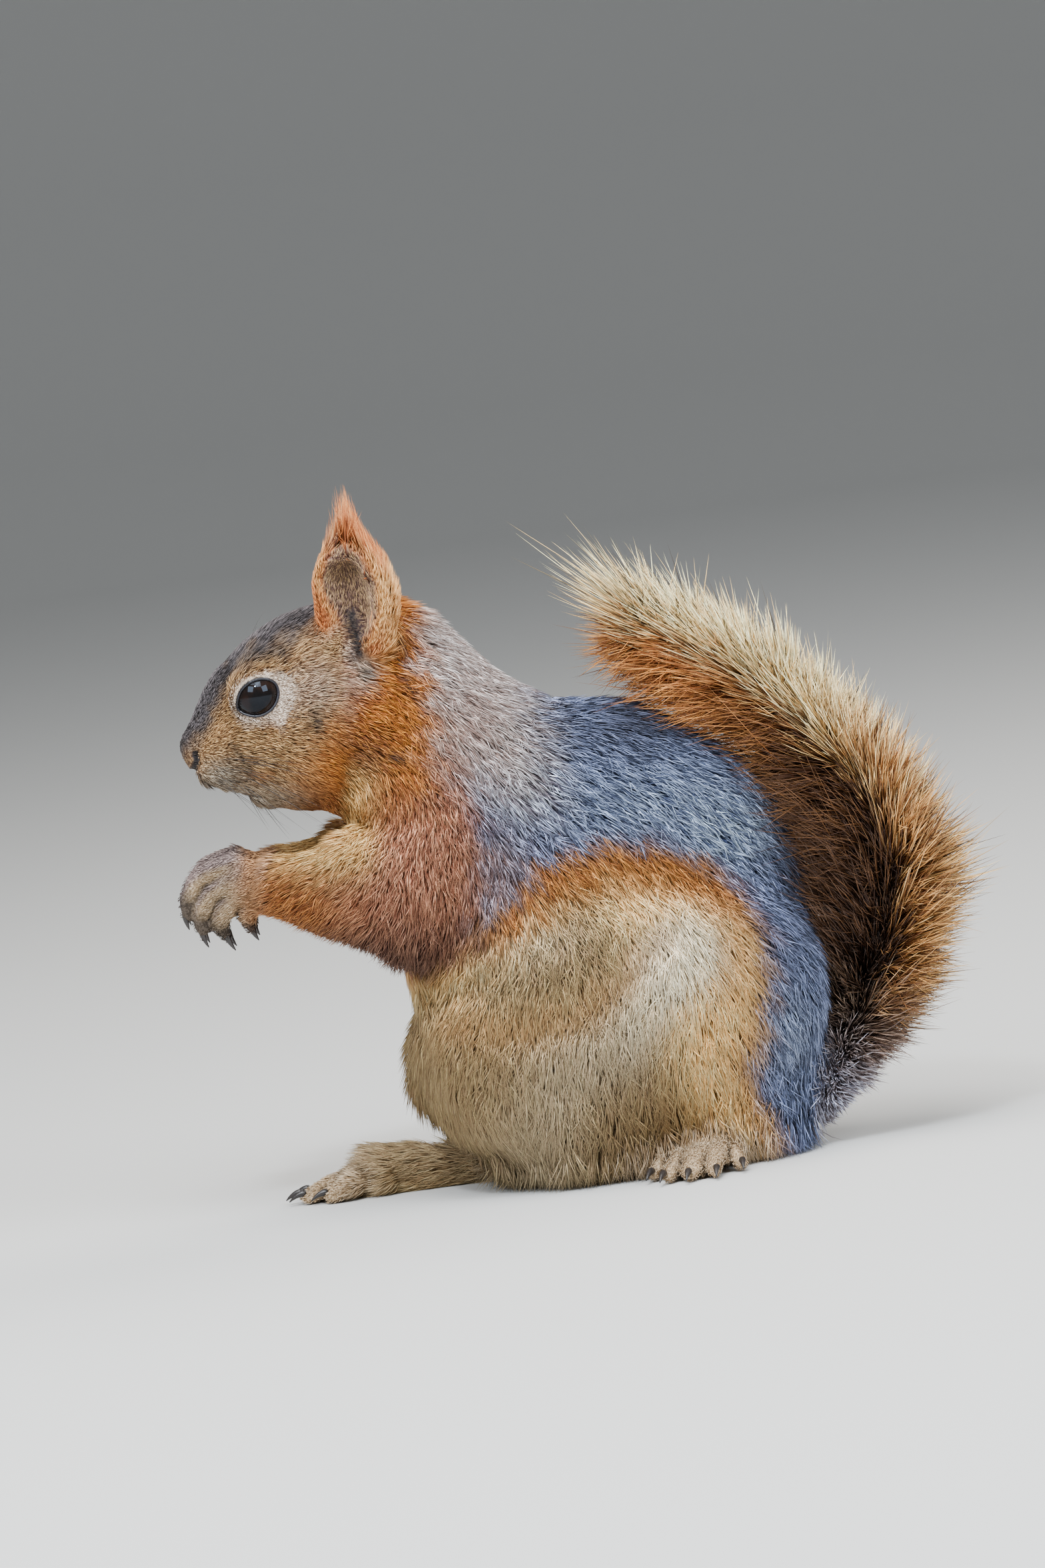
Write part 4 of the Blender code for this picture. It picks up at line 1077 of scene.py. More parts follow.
def body_spines(root, normal, lie, length, lift, steady, rng):
    """Spines of tufts that rise to the depth of the coat and then lie along the body."""
    count = len(root)
    clump = np.stack([ripple(root, 4.0, s) for s in (21, 22, 23)], 1)
    clump -= normal * (clump * normal).sum(1, keepdims=True)
    loose = rng.normal(size=(count, 3))
    loose -= normal * (loose * normal).sum(1, keepdims=True)
    calm = (1 - 0.8 * steady) * np.clip((length - 2) / 6, 0.3, 1)
    ahead = unit(lie + (0.22 * clump + 0.13 * loose) * calm[:, None])
    across = np.cross(normal, ahead)
    bend = rng.normal(size=count) * 0.07 + 0.09 * clump[:, 0]
    height = np.minimum(lift, 0.9 * length)
    run = np.sqrt(length ** 2 - height ** 2)
    s = np.linspace(0, 1, 3)[None, :, None]
    start = root - normal * 0.1
    spine = start[:, None] + ahead[:, None] * run[:, None, None] * s
    spine = spine + normal[:, None] * height[:, None, None] * (1 - (1 - s) ** 2)
    return spine + across[:, None] * (bend * length)[:, None, None] * s ** 2


def tail_spines(root, outline_tree, line, rng):
    """Spines of the tail's long hairs, which reach the outside of its coat."""
    count = len(root)
    place = nearest_step(root, line)
    ahead = unit(np.gradient(line, axis=0))[place]
    share = place / (len(line) - 1)
    radial = unit(root - line[place])
    radial = unit(radial - ahead * (radial * ahead).sum(1, keepdims=True) * smooth(0.85, 0.8, share)[:, None])
    usual = np.interp(share, (0, 0.15, 0.5, 0.85, 1), (100, 78, 62, 46, 28))
    slope = np.radians(usual + rng.normal(size=count) * np.interp(share, (0.8, 1), (8, 20)))
    clump = np.stack([ripple(root, 4.2, s) for s in (31, 32, 33)], 1)
    direction = radial * np.sin(slope)[:, None] + ahead * np.cos(slope)[:, None]
    direction = unit(direction + 0.15 * clump + 0.10 * rng.normal(size=(count, 3)))
    reach = np.empty(count)
    for i, (p, d) in enumerate(zip(root.tolist(), direction.tolist())):
        hit = outline_tree.ray_cast(p, d, 60.0)
        reach[i] = 9.0 if hit[3] is None else hit[3]
    inner = smooth(0.2, 0.8, (direction * np.cross(ahead, (0, 1, 0))).sum(1))
    usual = np.interp(share, (0.35, 0.6), (0.80, 0.70))
    uneven = (1 + np.interp(share, (0.7, 0.82), (0.52, 0.25)) * inner
              + 0.14 * ripple(root, 7, 34) + 0.1 * ripple(root, 3, 35))
    length = reach * np.clip(rng.normal(usual, 0.2), 0.35, 1.12) * uneven
    length = length * np.interp(share, (0.8, 1), (1, 0.92))
    s = np.linspace(0, 1, 4)[None, :, None]
    spine = root[:, None] + direction[:, None] * length[:, None, None] * s
    loose = np.interp(share, (0.75, 1), (0.13, 0.24)) * length
    sway = unit(ahead + 0.8 * clump + 0.5 * rng.normal(size=(count, 3))) * loose[:, None]
    spine = spine + sway[:, None] * (s ** 2 - s * 0.3)
    tip = spine[:, -1] * 0.8 + spine[:, 0] * 0.2
    return spine, tail_shades(tip, line)


# ---------------------------------------------------------------- materials

def node_group(name, inputs, outputs):
    tree = bpy.data.node_groups.new(name, "ShaderNodeTree")
    for label, kind, value in inputs:
        socket = tree.interface.new_socket(name=label, in_out="INPUT", socket_type=kind)
        socket.default_value = value
    for label, kind in outputs:
        tree.interface.new_socket(name=label, in_out="OUTPUT", socket_type=kind)
    return tree, tree.nodes.new("NodeGroupInput"), tree.nodes.new("NodeGroupOutput")


def add_node(tree, kind, **settings):
    node = tree.nodes.new(kind)
    for key, value in settings.items():
        setattr(node, key, value)
    return node


def feed(tree, socket, value):
    """Link a socket to another one, or give it a plain value."""
    if isinstance(value, bpy.types.NodeSocket):
        tree.links.new(value, socket)
    else:
        socket.default_value = value


def mix_colours(tree, factor, first, second, blend="MIX"):
    node = add_node(tree, "ShaderNodeMix", data_type="RGBA", blend_type=blend)
    for socket, value in ((node.inputs[0], factor), (node.inputs[6], first), (node.inputs[7], second)):
        feed(tree, socket, value)
    return node.outputs[2]


def arithmetic(tree, operation, first, second=0.0, clamp=False):
    node = add_node(tree, "ShaderNodeMath", operation=operation, use_clamp=clamp)
    for socket, value in zip(node.inputs, (first, second)):
        feed(tree, socket, value)
    return node.outputs[0]


def ranged(tree, value, low, high, new_low=0.0, new_high=1.0):
    """A soft step from new_low to new_high as the value goes from low to high."""
    node = add_node(tree, "ShaderNodeMapRange", interpolation_type="SMOOTHSTEP")
    tree.links.new(value, node.inputs["Value"])
    for label, number in (("From Min", low), ("From Max", high), ("To Min", new_low), ("To Max", new_high)):
        node.inputs[label].default_value = number
    return node.outputs["Result"]


def marking_group(colours):
    """The ground and accent colours of the coat, mixed by the markings' masks."""
    inputs = []
    for name in MARKINGS:
        label = name.replace("_", " ").capitalize()
        inputs.append((label + " ground", "NodeSocketColor", (*getattr(colours, name + "_ground"), 1.0)))
        inputs.append((label + " accent", "NodeSocketColor", (*getattr(colours, name + "_accent"), 1.0)))
    outputs = (("Ground", "NodeSocketColor"), ("Accent", "NodeSocketColor"))
    tree, given, result = node_group("coat_markings", inputs, outputs)
    masks = []
    for k in range(MASK_SETS):
        mask = add_node(tree, "ShaderNodeAttribute", attribute_name="marks_%d" % (k + 1))
        parts = add_node(tree, "ShaderNodeSeparateColor")
        tree.links.new(mask.outputs["Color"], parts.inputs[0])
        masks += [*parts.outputs, mask.outputs["Alpha"]]
    for tone in (0, 1):
        colour = given.outputs[tone]
        for k in range(1, len(MARKINGS)):
            colour = mix_colours(tree, masks[k - 1], colour, given.outputs[2 * k + tone])
        tree.links.new(colour, result.inputs[tone])
    return tree


def hair_group():
    """One hair: darker at the root, for darker hair bases and painted shade deep in the coat, its own tone along it,
    and a few hairs that stay dark.
    """
    inputs = (
        ("Ground", "NodeSocketColor", (0.1, 0.1, 0.1, 1)), ("Accent", "NodeSocketColor", (0.5, 0.5, 0.5, 1)),
        ("Along", "NodeSocketFloat", 0.5), ("Chance", "NodeSocketFloat", 0.5),
    )
    tree, given, result = node_group("hair_tone", inputs, (("Color", "NodeSocketColor"),))
    along, chance = given.outputs["Along"], given.outputs["Chance"]
    shift = arithmetic(tree, "MULTIPLY", arithmetic(tree, "SUBTRACT", chance, 0.5), 0.8)
    shifted = arithmetic(tree, "ADD", along, shift)
    tone = ranged(tree, shifted, 0.1, 0.95)
    other = arithmetic(tree, "FRACT", arithmetic(tree, "MULTIPLY", chance, 13.7))
    dark_hair = ranged(tree, other, 0.56, 0.68, 1.0, 0.16)
    tone = arithmetic(tree, "MULTIPLY", tone, dark_hair)
    colour = mix_colours(tree, tone, given.outputs["Ground"], given.outputs["Accent"])
    # Darker towards the root: darker hair bases and painted shade deep in the coat.
    root = ranged(tree, along, 0.0, 0.4, 0.65, 1.0)
    third = arithmetic(tree, "FRACT", arithmetic(tree, "MULTIPLY", chance, 5.3))
    value = arithmetic(tree, "MULTIPLY", root, ranged(tree, third, 0.0, 1.0, 0.82, 1.16))
    shade = add_node(tree, "ShaderNodeHueSaturation")
    tree.links.new(value, shade.inputs["Value"])
    tree.links.new(colour, shade.inputs["Color"])
    tree.links.new(shade.outputs[0], result.inputs[0])
    return tree


def grain_group():
    """Fine grain of bare skin or short flat fur, as a height and a mask."""
    inputs = (("Size", "NodeSocketFloat", 900.0), ("Detail", "NodeSocketFloat", 3.0))
    outputs = (("Height", "NodeSocketFloat"), ("Mask", "NodeSocketFloat"))
    tree, given, result = node_group("fine_grain", inputs, outputs)
    where = add_node(tree, "ShaderNodeTexCoord")
    noise = add_node(tree, "ShaderNodeTexNoise")
    tree.links.new(where.outputs["Object"], noise.inputs["Vector"])
    tree.links.new(given.outputs["Size"], noise.inputs["Scale"])
    tree.links.new(given.outputs["Detail"], noise.inputs["Detail"])
    tree.links.new(noise.outputs["Fac"], result.inputs["Height"])
    tree.links.new(ranged(tree, noise.outputs["Fac"], 0.35, 0.65), result.inputs["Mask"])
    return tree


def shared_group(name, make, *given):
    """The node group of that name, made at its first use."""
    return bpy.data.node_groups.get(name) or make(*given)


def new_material(name, roughness, specular=0.5, colour=None):
    material = bpy.data.materials.new(name)
    material.use_nodes = True
    shader = material.node_tree.nodes["Principled BSDF"]
    shader.inputs["Roughness"].default_value = roughness
    shader.inputs["Specular IOR Level"].default_value = specular
    if colour is not None:
        shader.inputs["Base Color"].default_value = (*colour, 1.0)
    return material, material.node_tree, shader


def placed_group(tree, group, **values):
    node = add_node(tree, "ShaderNodeGroup", node_tree=group)
    for label, value in values.items():
        node.inputs[label].default_value = value
    return node


def coat_material(colours):
    """The hair of the whole coat: the markings, darker towards the root."""
    found = bpy.data.materials.get("coat_hair")
    if found:
        return found
    material, tree, shader = new_material("coat_hair", 0.62, 0.35)
    marks = placed_group(tree, shared_group("coat_markings", marking_group, colours))
    tone = placed_group(tree, shared_group("hair_tone", hair_group))
    along = add_node(tree, "ShaderNodeAttribute", attribute_name="along")
    chance = add_node(tree, "ShaderNodeAttribute", attribute_name="chance")
    tree.links.new(marks.outputs["Ground"], tone.inputs["Ground"])
    tree.links.new(marks.outputs["Accent"], tone.inputs["Accent"])
    tree.links.new(along.outputs["Fac"], tone.inputs["Along"])
    tree.links.new(chance.outputs["Fac"], tone.inputs["Chance"])
    tree.links.new(tone.outputs["Color"], shader.inputs["Base Color"])
    return material


def skin_material(colours):
    """The skin under the coat, in the same markings, with a fine grain; it takes the darker root end of the hair's
    tone, as painted shade between the tufts.
    """
    material, tree, shader = new_material("skin", 0.7, 0.3)
    marks = placed_group(tree, shared_group("coat_markings", marking_group, colours))
    tone = placed_group(tree, shared_group("hair_tone", hair_group))
    grain = placed_group(tree, shared_group("fine_grain", grain_group), Size=1500.0)
    tree.links.new(marks.outputs["Ground"], tone.inputs["Ground"])
    tree.links.new(marks.outputs["Accent"], tone.inputs["Accent"])
    tree.links.new(grain.outputs["Mask"], tone.inputs["Chance"])
    # Only the darker root end of the tone: painted shade between the tufts.
    along = ranged(tree, grain.outputs["Height"], 0.3, 0.7, 0.12, 0.5)
    tree.links.new(along, tone.inputs["Along"])
    tree.links.new(tone.outputs["Color"], shader.inputs["Base Color"])
    bump = add_node(tree, "ShaderNodeBump")
    bump.inputs["Strength"].default_value = 0.5
    bump.inputs["Distance"].default_value = 0.3 * MM
    tree.links.new(grain.outputs["Height"], bump.inputs["Height"])
    tree.links.new(bump.outputs["Normal"], shader.inputs["Normal"])
    return material


def leather_material(name, colour, roughness):
    """Bare skin or horn with a fine grain."""
    material, tree, shader = new_material(name, roughness)
    grain = placed_group(tree, shared_group("fine_grain", grain_group), Size=2600.0)
    darker = (*(c * 0.55 for c in colour), 1.0)
    tree.links.new(mix_colours(tree, grain.outputs["Mask"], (*colour, 1.0), darker), shader.inputs["Base Color"])
    bump = add_node(tree, "ShaderNodeBump")
    bump.inputs["Strength"].default_value = 0.35
    bump.inputs["Distance"].default_value = 0.1 * MM
    tree.links.new(grain.outputs["Height"], bump.inputs["Height"])
    tree.links.new(bump.outputs["Normal"], shader.inputs["Normal"])
    return material


def eye_material(colour):
    """Wet black eye with the faintest brown in it."""
    material, tree, shader = new_material("eyeball", 0.02, 0.2)
    grain = placed_group(tree, shared_group("fine_grain", grain_group), Size=300.0)
    # The reflections are tinted blue as painted sky light.
    shader.inputs["Specular Tint"].default_value = (0.62, 0.78, 1.0, 1.0)
    brown = (colour[0] * 2.4, colour[1] * 1.6, colour[2] * 1.2, 1.0)
    tree.links.new(mix_colours(tree, grain.outputs["Mask"], (*colour, 1.0), brown), shader.inputs["Base Color"])
    return material


# ---------------------------------------------------------------- settings

def colour_prop(label, text, rgb):
    return FloatVectorProperty(name=label, description=text, default=rgb, size=3, min=0, max=1, subtype="COLOR")


class SquirrelColours(bpy.types.PropertyGroup):
    """The colours of the fine parts and the floor, with the two of each marking of the coat added below."""
    eye: colour_prop("Eye", "The eyeballs", (0.006, 0.005, 0.005))
    lid: colour_prop("Lid", "Bare rim of the lids", (0.016, 0.015, 0.022))
    claw: colour_prop("Claw", "The claws", (0.03, 0.024, 0.022))
    whisker: colour_prop("Whisker", "The whiskers", (0.05, 0.04, 0.035))
    floor: colour_prop("Floor", "The floor and backdrop", (0.55, 0.54, 0.52))


def coat_props():
    """The ground and accent colour of each marking of the coat."""
    props = {}
    for marking, (where, ground, accent) in COAT_COLOURS.items():
        label = marking.replace("_", " ").capitalize()
        props[marking + "_ground"] = colour_prop(label + " ground", where + ", near the roots", ground)
        props[marking + "_accent"] = colour_prop(label + " accent", where + ", tips", accent)
    return props


SquirrelColours.__annotations__.update(coat_props())


class SquirrelSizes(bpy.types.PropertyGroup):
    """Sizes and counts of the squirrel's skin, coat and fine parts."""
    skin_cell: FloatProperty(
        name="Skin cell", description="Size of the skin's mesh before it is refined at the face",
        default=0.0008, min=0.0004, max=0.003, unit="LENGTH", precision=5)
    density: FloatProperty(
        name="Density", description="Share of the coat's full number of tufts", default=1.0, min=0.05, max=2)
    length: FloatProperty(
        name="Length", description="Length of the coat against its natural length", default=1.0, min=0.3, max=1.5)
    seed: IntProperty(name="Seed", description="Seed of the coat's irregularities", default=7, min=0)
    eye_radius: FloatProperty(
        name="Eye radius", description="Radius of the eyeballs", default=0.0062, min=0.004, max=0.008,
        unit="LENGTH", precision=5)
    whiskers: IntProperty(
        name="Whiskers", description="Whiskers on each side of the muzzle", default=18, min=0, max=60)
    claw_length: FloatProperty(
        name="Claw length", description="Length of the longest claws", default=0.0048, min=0.001, max=0.01,
        unit="LENGTH", precision=5)


class SquirrelStage(bpy.types.PropertyGroup):
    """Camera and light."""
    distance: FloatProperty(
        name="Camera distance", description="Distance of the camera from the middle of the view", default=2.0,
        min=0.3, unit="LENGTH")
    lens: FloatProperty(name="Lens", description="Focal length", default=0.1836, min=0.02, unit="CAMERA")
    elevation: FloatProperty(
        name="Elevation", description="How far the camera looks down", default=math.radians(5.0), subtype="ANGLE")
    roll: FloatProperty(name="Roll", description="Roll of the camera", default=math.radians(8.0), subtype="ANGLE")
    key: FloatProperty(
        name="Key light", description="Power of the large overhead light", default=24.0, min=0, unit="POWER")
    window: FloatProperty(
        name="Window light", default=37.0, min=0,
        description="Power of the lights in front, in watts to a square metre; the small pane has 18 times as much")
    rim: FloatProperty(
        name="Rim light", description="Power of the light behind the tail", default=12.0, min=0, unit="POWER")
    sky: FloatProperty(name="Sky", description="Strength of the even light all round", default=0.38, min=0)


# ---------------------------------------------------------------- operators

STORE = {}               # surfaces that one operator leaves for the next


class SQUIRREL_OT_skin(bpy.types.Operator):
    """Make the skin that replaces the solids of flesh"""
    bl_idname = "squirrel.skin"
    bl_label = "Skin"

    def execute(self, context):
        sizes, colours = context.scene.squirrel_sizes, context.scene.squirrel_colours
        surface, weights, outline, line = build_skin(sizes.skin_cell)
        masks = markings(surface, weights, line)
        mesh = mesh_from("skin", surface.co, surface.tris)
        put_masks(mesh, masks)
        mesh.materials.append(skin_material(colours))
        skin = placed("skin", mesh, "coat_grey")
        nodes = [node for row in REGIONS.values() for node in row[0]]
        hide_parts(*nodes, *TAIL_NODES)
        STORE.update(surface=surface, weights=weights, masks=masks, outline=outline, line=line)
        return {"FINISHED"}


class SQUIRREL_OT_coat(bpy.types.Operator):
    """Grow the coat on the skin, one piece for each part of the body and side"""
    bl_idname = "squirrel.coat"
    bl_label = "Coat"

    def execute(self, context):
        sizes, colours = context.scene.squirrel_sizes, context.scene.squirrel_colours
        surface, weights, masks = STORE["surface"], STORE["weights"], STORE["masks"]
        normals = surface.normals()
        density = sizes.density * 1.0
        lie, depth, length, amount, width, crest = coat_growth(surface, weights, sizes, density)
        owner = np.array([PIECES.index(row[6]) for row in REGIONS.values()])[weights.argmax(1)]
        material = coat_material(colours)
        outline = STORE["outline"].tree()
        nearest = KDTree(len(surface.co))
        for index, place in enumerate(surface.co.tolist()):
            nearest.insert(place, index)
        nearest.balance()
        for number, piece in enumerate(PIECES):
            mine = owner[surface.tris[:, 0]] == number
            if not mine.any():
                continue
            parts = self.parts_of(piece, surface, mine)
            for label, chosen in parts.items():
                corners, shares = scattered(surface, chosen, amount, sizes.seed + 13 * number)
                rng = np.random.default_rng(sizes.seed + 101 * number + len(label))
                root = blended(surface.co, corners, shares)
                normal = unit(blended(normals, corners, shares))
                count = len(root)
                uneven = (0.1 if piece in ("face", "ears", "paw") else 0.25) * ripple(root, 1.8, 61)
                chance = np.clip(0.5 + uneven + rng.uniform(-0.36, 0.36, count), 0, 1)
                wide = blended(width, corners, shares) * rng.uniform(0.75, 1.25, count) / math.sqrt(density)
                if piece == "tail":
                    spines, shades = tail_spines(root, outline, STORE["line"], rng)
                    marks = blended(masks, corners, shares)
                    for name, shade in zip(TAIL_MARKINGS, shades):
                        stray = rng.uniform(0, 1, count) - 0.3 * (name == "tail_dark")
                        patchy = shade if name == "tail_red" else smooth(-0.35, 0.35, 1.1 * shade - stray)
                        marks[:, mask_column(name)] = patchy * marks[:, mask_column("tail_gold")]
                    taper = np.array((0.0, 0.9, 0.8, 0.0))
                else:
                    long = blended(length, corners, shares) * rng.uniform(0.75, 1.2, count)
                    lift = blended(depth, corners, shares) * rng.uniform(0.55, 1.05, count) + 0.2
                    flow = unit(blended(lie, corners, shares))
                    steady = blended(crest, corners, shares)
                    long = long * (1 - steady * rng.uniform(0.15, 0.6, count))
                    spines = body_spines(root, normal, flow, long, lift, steady, rng)
                    seen = root + (spines[:, -1] - root) * rng.uniform(0.4, 0.85, count)[:, None]
                    marks = masks[[nearest.find(p)[1] for p in seen.tolist()]]
                    taper = np.array((0.0, 1.0, 0.0))
                radii = wide[:, None] / 2 * taper[None]
                coat_piece(
                    "coat_" + label, surface, chosen, spines, radii, normal, marks, chance, material,
                    PIECE_SLOTS[piece])
        return {"FINISHED"}

    @staticmethod
    def parts_of(piece, surface, mine):
        """The triangles of each piece that a part of the body gives: one to a side, or three along the tail."""
        middle = surface.co[surface.tris].mean(1)
        if piece == "tail":
            line = STORE["line"]
            third = np.minimum(2, (nearest_step(middle, line) / len(line) * 3).astype(int))
            return {"tail_%d" % (k + 1): mine & (third == k) for k in range(3)}
        return {piece + "_" + name: mine & ((middle[:, 1] < 0) == (side < 0)) for name, side in SIDES.items()}


class SQUIRREL_OT_eyes(bpy.types.Operator):
    """Make the eyeballs and the bare rims of their lids"""
    bl_idname = "squirrel.eyes"
    bl_label = "Eyes"

    def execute(self, context):
        sizes, colours = context.scene.squirrel_sizes, context.scene.squirrel_colours
        ball = eye_material(colours.eye)
        rim = leather_material("eyelid_rim", colours.lid, 0.3)
        for name, side in SIDES.items():
            centre, axis, along, up = eye_frame(side)
            radius = sizes.eye_radius / MM
            bm = bmesh.new()
            bmesh.ops.create_uvsphere(bm, u_segments=64, v_segments=40, radius=radius)
            turn = Vector((0, 0, 1)).rotation_difference(Vector(axis)).to_matrix().to_4x4()
            for vertex in bm.verts:
                rise = max(0.0, vertex.co.z / radius)
                vertex.co *= 1 + 0.03 * rise ** 6
            bm.transform(Matrix.Scale(MM, 4) @ Matrix.Translation(Vector(centre + HIPS)) @ turn)
            mesh = mesh_of(bm, "eyeball_" + name)
            mesh.shade_smooth()
            mesh.materials.append(ball)
            eye = placed("eyeball_" + name, mesh, "eye")
            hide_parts("eye_" + name)
            turns = np.linspace(-math.pi, math.pi, 73)[:-1]
            opening = np.radians(lid_opening(turns))[:, None]
            across = along[None] * np.cos(turns)[:, None] + up[None] * np.sin(turns)[:, None]
            ring = centre + (axis[None] * np.cos(opening) + across * np.sin(opening)) * (radius + 0.22)
            lid = ring_mesh("eyelid_rim_" + name, ring, centre, 0.34)
            lid.materials.append(rim)
            placed("eyelid_rim_" + name, lid, "nose")
        return {"FINISHED"}


def ring_mesh(name, ring, centre, radius, sides=10):
    """Closed ring of round section."""
    ahead = unit(np.roll(ring, -1, 0) - np.roll(ring, 1, 0))
    up = unit(ring - centre)
    across = np.cross(ahead, up)
    angles = np.arange(sides) * math.tau / sides
    around = up[:, None] * np.cos(angles)[None, :, None] + across[:, None] * np.sin(angles)[None, :, None]
    co = ring[:, None] + around * radius
    count = len(ring)
    i, j = np.meshgrid(np.arange(count), np.arange(sides), indexing="ij")
    a, b = i * sides + j, i * sides + (j + 1) % sides
    c, d = ((i + 1) % count) * sides + j, ((i + 1) % count) * sides + (j + 1) % sides
    tris = np.concatenate([np.stack([a, c, d], -1).reshape(-1, 3), np.stack([a, d, b], -1).reshape(-1, 3)])
    return mesh_from(name, co.reshape(-1, 3), tris)


class SQUIRREL_OT_whiskers(bpy.types.Operator):
    """Set thin tapered whiskers in the muzzle and brows"""
    bl_idname = "squirrel.whiskers"
    bl_label = "Whiskers"

    def execute(self, context):
        sizes, colours = context.scene.squirrel_sizes, context.scene.squirrel_colours
        material = leather_material("whisker_hair", colours.whisker, 0.4)
        surface = STORE["surface"]
        tree = surface.tree()
        for name, side in SIDES.items():
            rng = np.random.default_rng(sizes.seed + 40)
            spines = []
            for k in range(sizes.whiskers):
                row, column = k % 4, k // 4
                guess = np.array((-99.5 + 2.3 * column + 0.5 * row, 9.0, 117.0 - 2.0 * row + 0.4 * column))
                way = unit(np.array((0.55 + 0.1 * column, 0.75, 0.05 - 0.22 * row)) + 0.12 * rng.normal(size=3))
                spines.append(self.whisker(tree, guess, way, rng.uniform(15, 27), side))
            for guess, way, long in OTHER_WHISKERS:
                spines.append(self.whisker(tree, np.array(guess, float), unit(np.array(way)), long, side))
            spines = np.array(spines)
            radii = np.array(WHISKER_RADII)[None] * np.ones((len(spines), 1))
            co, tris, _ = tuft_arrays(spines, radii, np.tile((0.0, 0.1, 1.0), (len(spines), 1)))
            mesh = mesh_from("whiskers_" + name, co, tris)
            mesh.materials.append(material)
            placed("whiskers_" + name, mesh, "coat_grey")
        return {"FINISHED"}

    @staticmethod
    def whisker(tree, guess, way, long, side):
        mirror = np.array((1, side, 1))
        root = np.array(tree.find_nearest((guess * mirror).tolist())[0])
        s = np.linspace(0, 1, 6)[:, None]
        sag = np.array((0.35, 0.0, -0.35)) * long * 0.5
        return root + way * mirror * long * s + sag * s ** 2


class SQUIRREL_OT_claws(bpy.types.Operator):
    """Set a curved claw in the tip of each finger and toe"""
    bl_idname = "squirrel.claws"
    bl_label = "Claws"

    def execute(self, context):
        sizes, colours = context.scene.squirrel_sizes, context.scene.squirrel_colours
        material = leather_material("claw_horn", colours.claw, 0.35)
        long = sizes.claw_length / MM
        for name, side in SIDES.items():
            spines = [self.claw(tip, way, drop, long * share) for tip, way, drop, share in finger_tips(side)]
            self.place("hand_claws_" + name, spines, material)
            spines = [self.claw(tip, way, drop, long * share) for tip, way, drop, share in toe_tips(name)]
            self.place("foot_claws_" + name, spines, material)
        return {"FINISHED"}

    @staticmethod
    def claw(tip, way, drop, long):
        s = np.linspace(0, 1, 7)[:, None]
        return tip + way * long * s + drop * long * 0.55 * s ** 2

    @staticmethod
    def place(name, spines, material):
        bm = bmesh.new()
        for spine in spines:
            add_tube(bm, spine, CLAW_RADII, sides=10)
        bmesh.ops.recalc_face_normals(bm, faces=bm.faces)
        mesh = mesh_of(bm, name)
        mesh.shade_smooth()
        mesh.materials.append(material)
        placed(name, mesh, "nose")


def finger_tips(side):
    """Tip, direction, bend and share of the full length of each finger's claw."""
    mirror = np.array((1, side, 1))
    rows = (
        ((-110, 6.6, 80.4), (-0.25, -0.1, -1.0), 0.8), ((-106.6, 5.9, 75.4), (-0.05, -0.1, -1.0), 0.8),
        ((-100.7, 5.6, 73.4), (0.15, -0.1, -1.0), 0.75), ((-94.1, 6.5, 74.4), (0.1, -0.1, -1.0), 0.6),
    )
    for place, way, share in rows:
        yield np.array(place) * mirror, unit(np.array(way) * mirror), np.array((0.6, 0, -0.3)), share


def toe_tips(name):
    """The same for the toes of one foot, from the shape of its solid."""
    co, _ = arrays_of(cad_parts["foot_" + name].data)
    toward = np.array(REGION_LIE[name + " foot"])
    beside = np.cross((0, 0, 1), toward)
    spread = co @ beside
    middle, half = (spread.max() + spread.min()) / 2, (spread.max() - spread.min()) / 2
    for share in TOE_SPREAD:
        near = np.abs(spread - middle - share * half * 0.98) < 1.8
        tip = co[near][np.argmax(co[near] @ toward)]
        place = np.array((tip[0], tip[1], 3.0)) - toward * 1.4
        yield place, unit(toward + beside * share * 0.25 + np.array((0, 0, 0.12))), np.array((0, 0, -0.9)), 0.95


